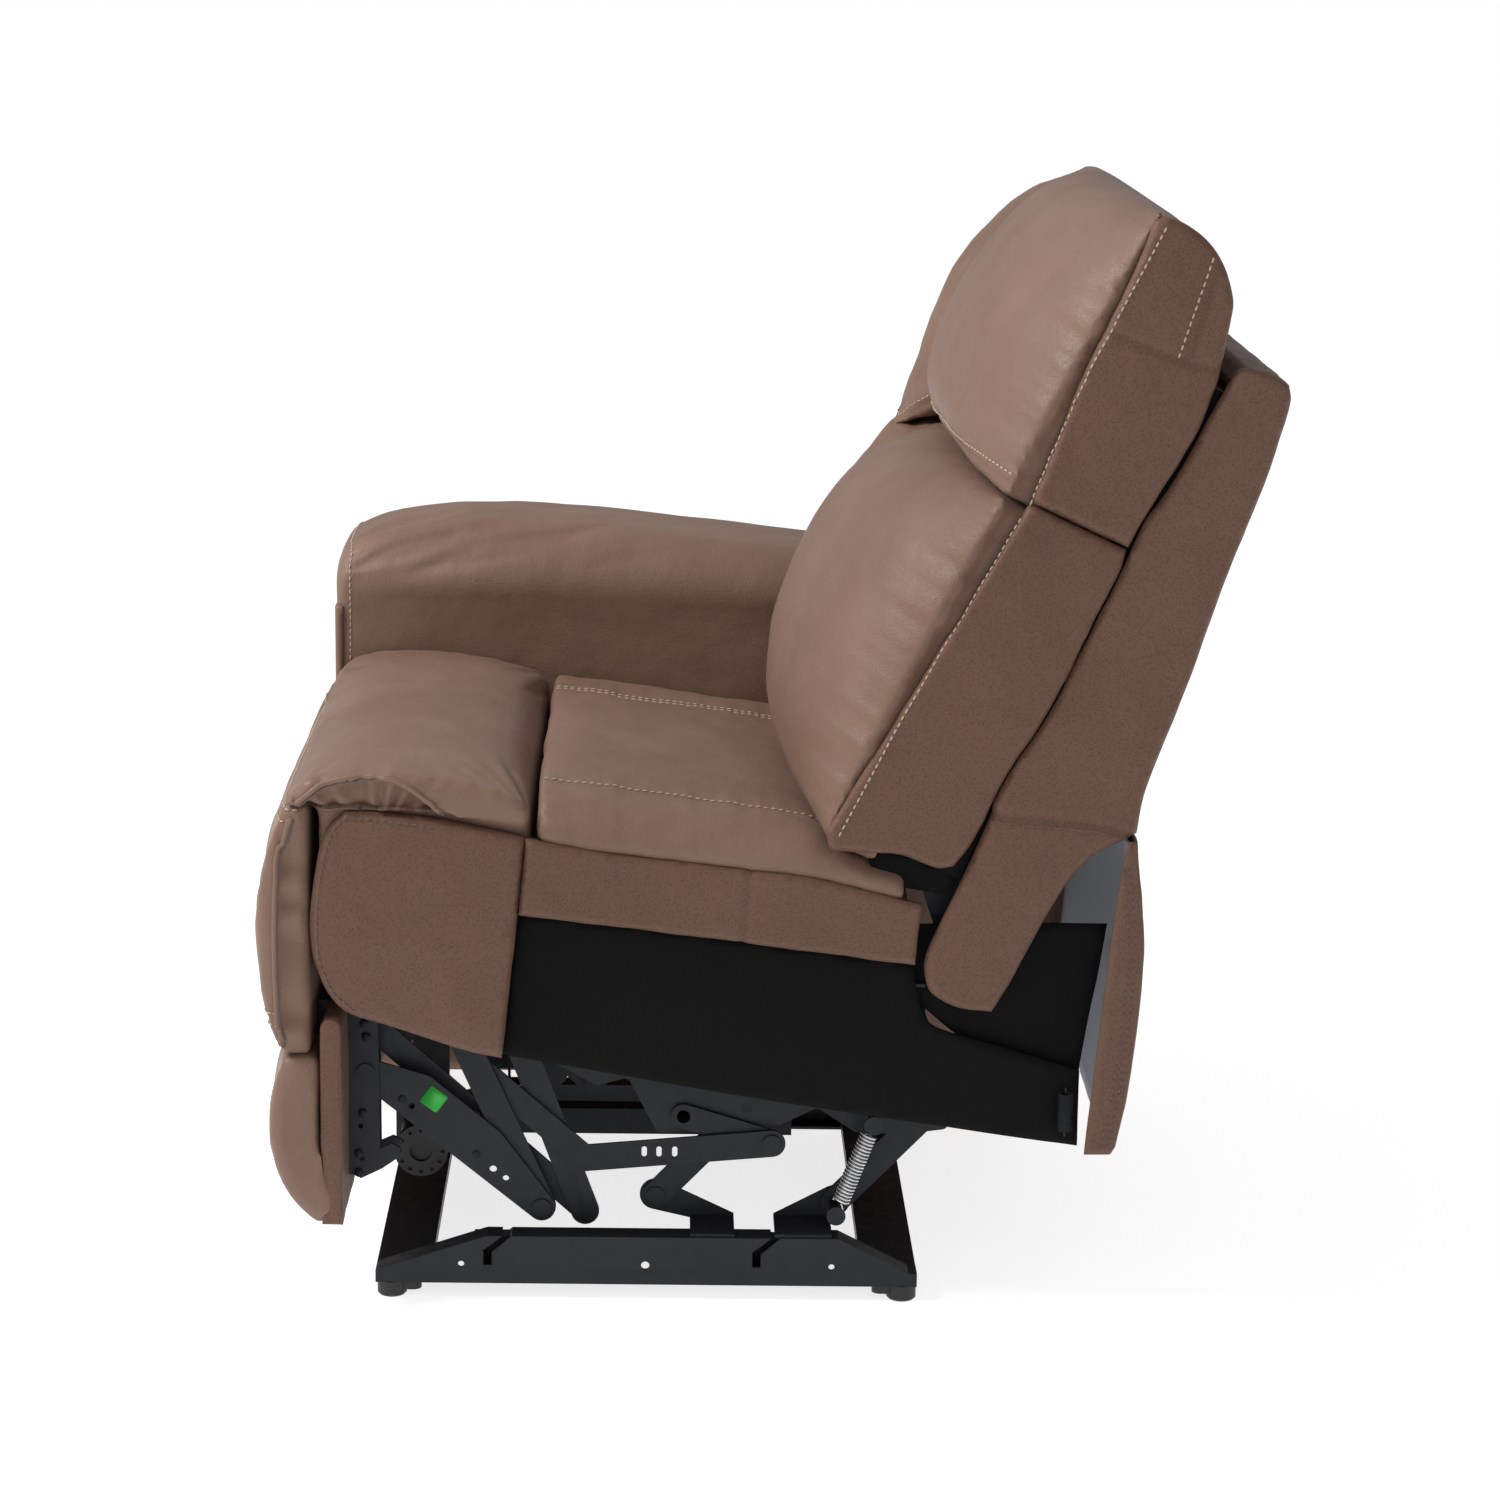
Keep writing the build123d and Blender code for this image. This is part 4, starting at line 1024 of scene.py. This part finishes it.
def seat_cushion():
    """Main seat cushion with lengthwise seams."""
    rings = []
    width = 2 * HALF * 1000 - 2
    across = [NEAR * 1000 - 1 - 0.5 * (1 - math.cos(math.pi * k / 60)) * width for k in range(61)]
    low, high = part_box("seat_cushion")
    base = low.z * 1000 + 1
    y = low.y * 1000 + 0.5
    while y < high.y * 1000:
        ring = [Vector((x, y, seat_top(x, y))) for x in across]
        shelf = keyed(SEAT_SEAM, y) + 0.5
        ring += [Vector((low.x * 1000, y, shelf - 4)), Vector((low.x * 1000, y, base))]
        ring += [Vector((high.x * 1000, y, base)), Vector((high.x * 1000, y, shelf - 1))]
        rings.append([p * MM for p in ring])
        y += 6.0
    cushion = joined("seat_cushion_cover", [closed_loft(rings)])
    even_skin(cushion, SKIN)
    near, far = SEAT_SEAMS

    def grip(point):
        column = min(abs(point.x * 1000 - near), abs(point.x * 1000 - far))
        sides = min(NEAR - point.x, point.x - FAR) * 1000
        under = clamp((keyed(SEAT_TOP, point.y * 1000) - 22 - point.z * 1000) / 8)
        return max(clamp(1.2 - column / 7), clamp(1.4 - sides / 12), under)

    filled(cushion, grip, 0.011)
    finer(cushion)

    def lengthwise(x, shift, start, end, lift):
        return [Vector((x + shift, y, seat_top(x, y) + lift)) * MM for y in range(start, end, 10)]

    lines = [laid_on(cushion, dense(lengthwise(x, 0.0, -200, 120, 0))) for x in (near, far)]
    press_seams(cushion, lines, 0.0022, 0.004)
    seam_creases(cushion, tree_of([p for line in lines for p in line]), 0.0022, 0.03, 0.02, 4.0)
    ruffle(cushion, SWELL, 0.08, 6.0, lambda p: clamp((p.z - 0.42) / 0.03))
    fitted(cushion, "seat", SMOOTH, "smooth_leather", "seat_cushion")
    beside = (near, -5.5), (far, -5.5), (far, 5.5)
    stitched("seat_seam_stitches", "seat", cushion, [lengthwise(x, shift, -198, 110, 2) for x, shift in beside])


def piped(name, body, line):
    """Cord sewn into an edge, with the dark seam right under it."""
    cord = paths_piece(name, PIPING, [line], {"Radius": 0.0026}, SMOOTH)
    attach(cord, body)
    under = [p + Vector((0.0008, 0.0022, -0.0022)) for p in line]
    seam = paths_piece(f"{name}_seam", PIPING, [under], {"Radius": 0.0013}, DARK_THREAD)
    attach(seam, body)


ROLL_TOP = ((-434, 491), (-421, 507), (-400, 516), (-370, 519), (-330, 519), (-290, 515), (-250, 508),
            (-222, 499), (-210, 488))
ROLL_PIPING = ((-436, 474), (-431, 484), (-420, 493), (-397, 510), (-367, 517), (-347, 517), (-326, 511),
               (-305, 497), (-290, 484))


def front_roll():
    """Thigh roll, with its gathered near end."""
    low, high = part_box("front_roll")
    body = flat_loop((*ROLL_TOP, (-209.5, 398), (-404, 398), (-404, 489)))
    cap = flat_loop((*ROLL_TOP, (-211, 470), (-245, 474), (-295, 487), (-404, 487)))
    long_part = bolster(body, low.x - 0.010, high.x, 0.006, 0.008)
    near_end = bolster(cap, high.x - 0.04, NEAR - 0.001, 0.006, 0.006)
    roll = joined("thigh_roll_cover", [long_part, near_end])
    even_skin(roll, 0.006)

    def grip(point):
        y, z = point.y * 1000, point.z * 1000
        under = clamp((keyed(ROLL_TOP, y) - 16 - z) / 8)
        ends = clamp(1.3 - min(NEAR - point.x, point.x - FAR) * 1000 / 9)
        return max(under, ends, clamp(1.3 - (y + 434) / 6))

    filled(roll, grip, 0.009)
    finer(roll)
    welt = dense(side_line(ROLL_PIPING, NEAR))
    seam_creases(roll, tree_of(welt), 0.0035, 0.030, 0.018, 7.0)
    ruffle(roll, SWELL, 0.09, 9.0, lambda p: clamp((p.z - 0.46) / 0.03))
    edge_height = [(a * MM, b * MM) for a, b in ROLL_PIPING]
    for vertex in roll.data.vertices:
        p = vertex.co
        if p.x > NEAR - 0.012 and p.z > 0.4865 and p.y < -0.285:
            arc = math.atan2(p.z - 0.44, p.y + 0.35)
            gather = 0.5 + 0.5 * math.sin(arc * 21 + 2.0 * math.sin(arc * 5))
            depth = clamp((keyed(edge_height, p.y) - p.z - 0.001) / 0.006)
            vertex.co.x -= (0.007 + 0.006 * gather) * depth
    fitted(roll, "seat", SMOOTH, "smooth_leather", "front_roll")
    line = laid_on(roll, dense(side_line(ROLL_PIPING[1:], NEAR - 0.001)), 0.0005)
    piped("roll_end_piping", "seat", line)


def seat_sides():
    """Front side panel, strip under the cushion, and the black covers."""
    inner = NEAR - 0.0128
    panel_edge = ((-300, 472), (-376, 478), (-391, 462), (-402, 413), (-404, 358), (-400, 335), (-388, 311),
                  (-373, 298))
    skin = leather_panel(end_outline("front_side_panel"), NEAR + 0.0005, inner, 0.007, 0.003, PANEL_STEP)
    panel = joined("front_side_panel_cover", [skin])
    ruffle(panel, 0.0012, 0.05, 12.0)
    fitted(panel, "seat", PEBBLED_HIDE_PAINTED_SHADE, "grained_leather", "front_side_panel")
    stitched("front_side_panel_stitches", "seat", panel, [side_line(panel_edge, NEAR + 0.002)], DARK_THREAD)
    cut = dense(side_line(((-9, 432), (-16, 364)), 0))
    skin = leather_panel(end_outline("side_strip"), NEAR - 0.0005, inner, 0.004, 0.0, PANEL_STEP, (cut,))
    strip = joined("side_strip_cover", [skin])
    ruffle(strip, 0.0010, 0.05, 13.0)
    fitted(strip, "seat", PEBBLED_HIDE_PAINTED_SHADE, "grained_leather", "side_strip")
    covers = ("side_cloth_near", "side_cover_right", True), ("side_cloth_far", "side_cover_left", False)
    for name, node, high in covers:
        low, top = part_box(node)
        outer, inner = (top.x, low.x) if high else (low.x, top.x)
        board = joined(name, [leather_panel(end_outline(node, high), outer, inner, 0.0015, 0.0, 0.008)])
        ruffle(board, 0.0010, 0.10, 14.0)
        fitted(board, "seat", CLOTH, "black_cloth", node)


# ---- footrest

def footrest_pads():
    """Front face of the footrest: tall upper pad and low bulging pad."""
    upper_loop = flat_loop(((-411.6, 251), (-437, 251), (-446, 268), (-453, 290), (-459, 331), (-462, 385),
                            (-456, 430), (-446, 466), (-435, 490), (-411.6, 490)))
    lower_loop = flat_loop(((-387, 90), (-409, 87), (-430, 108), (-448, 150), (-452, 192), (-447, 226),
                            (-437, 251.5), (-403, 251.5), (-403, 150), (-387, 120)))
    low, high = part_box("footrest_pad_upper")
    upper = joined("footrest_upper_pad", [bolster(upper_loop, low.x + 0.001, high.x - 0.001, 0.012, 0.007)])
    low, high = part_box("footrest_pad_lower")
    lower = joined("footrest_lower_pad", [bolster(lower_loop, low.x + 0.001, high.x - 0.001, 0.012, 0.007)])
    cross = dense([Vector((x, -0.4535, 0.286)) for x in (FAR + 0.004, MIDDLE, NEAR - 0.004)])
    welt = (-438, 258), (-441, 290), (-443, 340), (-442, 400), (-438, 440), (-428, 478)
    for piece, seed in ((upper, 21.0), (lower, 23.0)):
        even_skin(piece, 0.006)

        def grip(point):
            ends = min(NEAR - point.x, point.x - FAR) * 1000
            seam = abs(point.z * 1000 - 286)
            return max(clamp((point.y + 0.428) / 0.008), clamp(1.3 - ends / 9), clamp(1.2 - seam / 6))

        filled(piece, grip, 0.008)
        finer(piece)
        ruffle(piece, SWELL, 0.08, seed, lambda p: clamp((-0.425 - p.y) / 0.01))
    press_seams(upper, [cross], 0.0022, 0.0035)
    for vertex in upper.data.vertices:
        p = vertex.co
        end = min(NEAR - p.x, p.x - FAR)
        if end < 0.014 and p.y > -0.443:
            gather = 0.5 + 0.5 * math.sin(p.z * 130 + 1.5 * math.sin(p.z * 47))
            pull = (0.002 + 0.005 * gather) * clamp((p.y + 0.443) / 0.006) * clamp(1 - end / 0.014)
            vertex.co.x += -pull if NEAR - p.x < p.x - FAR else pull
    piped("footrest_end_piping", "footrest_panel", laid_on(upper, dense(side_line(welt, NEAR)), 0.0004))
    fitted(upper, "footrest_panel", SMOOTH, "smooth_leather", "footrest_pad_upper")
    fitted(lower, "footrest_panel", SMOOTH, "smooth_leather", "footrest_pad_lower")
    rows = []
    for y, z in ((-0.455, 0.2925), (-0.455, 0.2795), (-0.442, 0.4755), (-0.436, 0.4885)):
        row = [Vector((x, y, z)) for x in (FAR + 0.006, MIDDLE, NEAR - 0.007)]
        row += [Vector((NEAR - 0.001, y + 0.004, z)), Vector((NEAR, y + 0.012, z))]
        rows.append(row)
    stitched("footrest_cross_stitches", "footrest_panel", upper, rows)
    wrap_loop = flat_loop(((-402.5, 88), (-402.5, 280), (-398, 286), (-388, 286), (-383.7, 280), (-383.7, 88)))
    wrap = joined("footrest_board_wrap", [bolster(wrap_loop, FAR + 0.003, NEAR - 0.003, 0.003, 0.010)])
    ruffle(wrap, 0.0010, 0.05, 25.0)
    fitted(wrap, "footrest_panel", PEBBLED_HIDE_PAINTED_SHADE, "grained_leather")


# ---- arm

ARM_SECTION = ((-177, 334), (-177, 500), (-177, 545), (-174, 575), (-173, 598), (-180, 620), (-198, 637),
               (-240, 645), (-291, 646), (-345, 642), (-382, 630), (-403, 606), (-410, 580), (-409, 563),
               (-399, 561), (-398, 334))

# Height of the arm's top along its length. Below the shoulder its sides are upright, and in the
# section its crown stands that much above the shoulder.
ARM_TOP = ((-437, 600), (-433, 612), (-424, 626), (-405, 638), (-378, 645), (-340, 646), (-250, 645), (-160, 640),
           (60, 614), (330, 590))
SHOULDER = 562
CROWN = 84


def arm_height(z, top):
    """Height of a section point where the crown stands at top."""
    return z if z <= SHOULDER else SHOULDER + (z - SHOULDER) * (top - SHOULDER) / CROWN


def arm_pillow():
    """Pillow over the arm, running down its inner face."""
    section = smooth_line([Vector((x, z, 0)) for x, z in ARM_SECTION], 8.0, True, 50.0)
    rings = []
    stations = [-437, -434, -430, -424, -416, -405, -392] + list(range(-378, 330, 8)) + [329]
    for y in stations:
        top = keyed(ARM_TOP, y)
        tuck = 9 * clamp(1 - (y + 437) / 14) ** 2
        ring = []
        for p in section:
            x = p.x + (-291 - p.x) / 120 * tuck * clamp((p.y - 540) / 30)
            ring.append(Vector((x, y, arm_height(p.y, top))) * MM)
        rings.append(ring)
    pad = joined("arm_pillow", [closed_loft(rings)])
    even_skin(pad, 0.0065)

    def grip(point):
        inner = point.x > -0.19 and point.z < 0.53
        return 1.0 if inner or point.z < 0.57 or point.y < -0.425 or point.y > 0.31 else 0.0

    filled(pad, grip, 0.007)
    finer(pad)
    ruffle(pad, SWELL, 0.10, 31.0)
    fitted(pad, "base", SMOOTH, "smooth_leather", "arm_pad")
    front = ((-172, 400), (-172, 540), (-170, 590), (-180, 628), (-210, 642), (-291, 646), (-360, 642),
             (-398, 615), (-411, 575))
    row = [Vector((x, -421, arm_height(z, keyed(ARM_TOP, -425)))) * MM for x, z in front]
    stitched("arm_front_stitches", "base", pad, [row])


def arm_covers():
    """Hide on the arm's front, rear, inner and outer boards."""
    low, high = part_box("arm_front")
    loop = flat_loop(((-437, 52), (-437, 561), (-428, 561), (-428, 52)))
    front = joined("arm_front_cover", [bolster(loop, low.x + 0.001, high.x - 0.002, 0.004, 0.010)])
    fitted(front, "base", SMOOTH, "smooth_leather", "arm_front")
    inner_low, inner_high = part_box("arm_panel_inner")
    loop = flat_loop(((-427, 52), (-427, 345), (329, 345), (329, 52)))
    inner = joined("arm_inner_cover", [leather_panel(loop, inner_high.x - 0.006, inner_low.x, 0.003, 0.0, 0.012)])
    fitted(inner, "base", SMOOTH, "grained_leather", "arm_panel_inner")
    loop = flat_loop(((328, 51), (328, 588), (333, 588), (333, 51)))
    rear = joined("arm_rear_cover", [bolster(loop, low.x + 0.001, high.x - 0.001, 0.002, 0.010)])
    fitted(rear, "base", SMOOTH, "smooth_leather")
    outer_low, outer_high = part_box("arm_panel_outer")
    loop = flat_loop(((-427, 52), (-427, 561), (329, 561), (329, 52)))
    outer = joined("arm_outer_cover", [leather_panel(loop, outer_low.x + 0.001, outer_high.x, 0.004, 0.0, 0.010)])
    ruffle(outer, 0.0010, 0.10, 33.0)
    fitted(outer, "base", PEBBLED_HIDE_PAINTED_SHADE, "grained_leather", "arm_panel_outer")


# ---- skirt and its lining

# Depth of the skirt's outer face and of its inner edge at each height, in millimetres (height, y).
SKIRT_OUTER = ((164, 328), (172, 333), (214, 341), (262, 346), (306, 350), (355, 352), (384, 351), (413, 348),
               (446, 343), (468, 341))
SKIRT_INNER = ((166, 303), (200, 306), (300, 315), (380, 322), (446, 330), (463, 334))


def hung_cloth(name, columns, heights, thickness, swell, middle=None):
    """Cloth through columns of (x, depth at a height), swelled and then thickened.

    Where a middle is given, the faces look away from it.
    """
    vertices = [(Vector((x, depth(z), z)) * MM)[:] for x, depth in columns for z in heights]
    rows = len(heights)
    corners = [c * rows + r for c in range(len(columns) - 1) for r in range(rows - 1)]
    cloth = make_piece(name, vertices, [(a, a + 1, a + rows + 1, a + rows) for a in corners])
    if middle is not None and sum((p.center - middle).dot(p.normal) for p in cloth.data.polygons) < 0:
        cloth.data.flip_normals()
    ruffle(cloth, *swell)
    thick = cloth.modifiers.new("thickness", "SOLIDIFY")
    thick.thickness = thickness
    thick.offset = -1.0
    return settle(cloth)


def skirt():
    """Hanging leather flap across the back, returned round both sides."""
    heights = [165 + (463 - 165) * k / 46 for k in range(47)]
    near, far = NEAR * 1000, FAR * 1000 + 3
    across = int((near - far) / 8)

    def returned(share):
        return lambda z: keyed(SKIRT_INNER, z) + (keyed(SKIRT_OUTER, z) - keyed(SKIRT_INNER, z)) * share

    sides = 0.0, 0.25, 0.5, 0.75, 0.93
    columns = [(near, returned(share)) for share in sides]
    columns += [(near - 3 - (near - far - 6) * k / across, returned(1.0)) for k in range(across + 1)]
    columns += [(far, returned(share)) for share in reversed(sides)]
    middle = Vector((MIDDLE, 0.2, 0.3))
    flap = hung_cloth("back_skirt_flap", columns, heights, 0.0028, (0.0012, 0.06, 41.0), middle)
    fitted(flap, "skirt", PEBBLED_HIDE_PAINTED_SHADE, "grained_leather", "back_skirt")
    for x, label in ((near, "near"), (far, "far")):
        rows = []
        for step in (9, 15):
            rows.append([Vector((x, keyed(SKIRT_OUTER, z) - step, z)) * MM for z in range(172, 444, 12)])
        stitched(f"skirt_stitches_{label}", "skirt", flap, rows, DARK_THREAD)


def skirt_lining():
    """Pale non-woven lining hung inside the skirt."""
    heights = [168 + (459 - 168) * k / 38 for k in range(39)]
    near, far = NEAR * 1000 - 5, FAR * 1000 + 8
    across = 60
    inside = lambda z: keyed(SKIRT_OUTER, z) - 5.5
    columns = [(near - (near - far) * k / across, inside) for k in range(across + 1)]
    lining = hung_cloth("skirt_lining", columns, heights, 0.0008, (0.0008, 0.05, 45.0))
    fitted(lining, "skirt", PALE_LINING, "black_cloth")


def springs():
    """Bright balance springs, one on each side."""
    low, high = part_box("balance_springs")
    parts = []
    for x in (high.x - 0.0085 - 0.0005, low.x + 0.0085 + 0.0005):
        start, end = Vector((x, 0.078, 0.080)), Vector((x, 0.112, 0.170))
        parts.append(spring_piece(start, end, 0.0072, 0.0013, 21, 0.012))
    bright = join_pieces("balance_spring_coils", parts)
    bright.data.materials.clear()
    bright.data.materials.append(ZINC)
    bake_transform(bright)
    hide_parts("balance_springs")


def spring_piece(start, end, radius, wire, turns, hook):
    """One coil between two pins, with straight hooks."""
    run = end - start
    body = run.length - 2 * hook
    sizes = {"Turns": float(turns), "Radius": radius, "Height": body, "Wire": wire}
    coil = grown("coil", COIL, [(0, 0, 0)], [], sizes, ZINC)
    turn = run.to_track_quat("Z", "X").to_matrix().to_4x4()
    way = run.normalized()
    coil.data.transform(Matrix.Translation(start + way * hook) @ turn)
    hooks = []
    side = way.cross(Vector((1, 0, 0))).normalized()
    for at, sign in ((start, 1), (end, -1)):
        inner = at + way * sign * (hook + 0.002)
        path = [inner + Vector((radius * 0.7, 0, 0)), inner - way * sign * 0.003,
                at + way * sign * 0.006 + side * 0.004, at + side * 0.0055, at - way * sign * 0.004,
                at - side * 0.0055, at + way * sign * 0.004 - side * 0.004]
        hooks.append(paths_piece("hook", PIPING, [dense(path, 0.0015)], {"Radius": wire}, ZINC))
    return join_pieces("spring", [coil] + hooks)


def join_pieces(name, pieces):
    """Several meshes as one."""
    parts = []
    for piece in pieces:
        mesh = piece.data
        parts.append(([tuple(v.co) for v in mesh.vertices], [tuple(p.vertices) for p in mesh.polygons]))
        bpy.data.objects.remove(piece)
    return joined(name, parts)


# ---- cloths that close the gaps, sticker and rivets

def flat_shell(name, points, outer, inner, body, finish, slot):
    """Thin flat panel in the side plane."""
    piece = joined(name, [leather_panel(flat_loop(points), outer, inner, 0.0008, 0.0, 0.012)])
    return fitted(piece, body, finish, slot)


def gap_cloths():
    """Black cloth behind the slits of the back and in the open rear corner."""
    corners = []
    for along, behind in ((14, 103), (516, 103), (516, 132), (14, 132)):
        place = back_place(0, along * MM, behind * MM) / MM
        corners.append((place.y, place.z))
    edge = NEAR - 0.0136
    for label, outer, inner in (("near", edge, edge - 0.0015), ("far", mirrored(edge), mirrored(edge - 0.0015))):
        flat_shell(f"slit_cloth_{label}", corners, outer, inner, "back", CLOTH, "black_cloth")
    rear = ((118, 330), (118, 376), (215, 379), (320, 379), (313, 330), (306, 290), (299, 242), (298, 232),
            (200, 262), (150, 300))
    flat_shell("rear_corner_cloth", rear, 0.3885, 0.3870, "seat", CLOTH, "black_cloth")


def backing_strips():
    """Steel behind the hook slots of the base rails, and cloth under the tail of the lower band."""
    for place, start in (("front", -264), ("rear", -10)):
        corners = ((start, 18), (start, 60), (start + 44, 60), (start + 44, 18))
        for outer, thickness, side in ((0.3445, -0.002, "near"), (mirrored(0.3445), 0.002, "far")):
            name = f"rail_backing_{place}_{side}"
            flat_shell(name, corners, outer, outer + thickness, "base", STEEL, "black_steel")
    tail = ((104, 419), (98, 446), (118, 452), (170, 438), (186, 428), (170, 408))
    flat_shell("band_tail_cloth", tail, NEAR - 0.0155, NEAR - 0.0165, "back", CLOTH, "black_cloth")


def inspection_sticker():
    """Blank square sticker on the long outer link."""
    half, x = 0.0098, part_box("outer_links_front")[1].x
    turn = Matrix.Rotation(math.radians(-37), 3, "X")
    centre = Vector((x + 0.00012, -0.303, 0.186))
    corners = (-1, -0.85), (-0.85, -1), (0.85, -1), (1, -0.85), (1, 0.85), (0.85, 1), (-0.85, 1), (-1, 0.85)
    rim = smooth_line([Vector((0, a * half, b * half)) for a, b in corners], 0.002)
    outer = [centre + turn @ p + Vector((0.00025, 0, 0)) for p in rim]
    inner = [centre + turn @ p for p in rim]
    sticker = joined("blank_green_sticker", [closed_loft([outer, inner])])
    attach(sticker, "outer_front")
    sticker.data.materials.append(STICKER)


def rivets():
    """Domed heads on the footrest bracket and the outer links."""
    bracket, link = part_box("footrest_brackets")[1].x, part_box("outer_links_front")[1].x
    on_bracket = (-368, 261), (-366, 248), (-370, 173), (-374, 133), (-374, 114)
    sets = (
        ("bracket_rivets", "footrest_panel", bracket - 0.0002, on_bracket),
        ("link_rivets", "outer_front", link - 0.0002, ((-333, 186), (-263, 132))),
    )
    for name, body, x, spots in sets:
        points = [Vector((side, y * MM, z * MM)) for y, z in spots for side in (x, mirrored(x))]
        heads = grown(name, RIVETS, points, [], {"Radius": 0.0042, "Height": 0.0016}, STEEL)
        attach(heads, body)


back_cushions()
back_bands()
back_shell()
seat_cushion()
front_roll()
seat_sides()
footrest_pads()
arm_pillow()
arm_covers()
skirt()
skirt_lining()
gap_cloths()
backing_strips()
inspection_sticker()
rivets()
springs()

# The lower back cushion's cover, side bands and band stitches each get a mesh of their own.
for part in ("cushion_cover", "side_bands", "band_stitches_near", "band_stitches_far"):
    name = f"lumbar_{part}"
    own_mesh(bpy.data.objects[name])
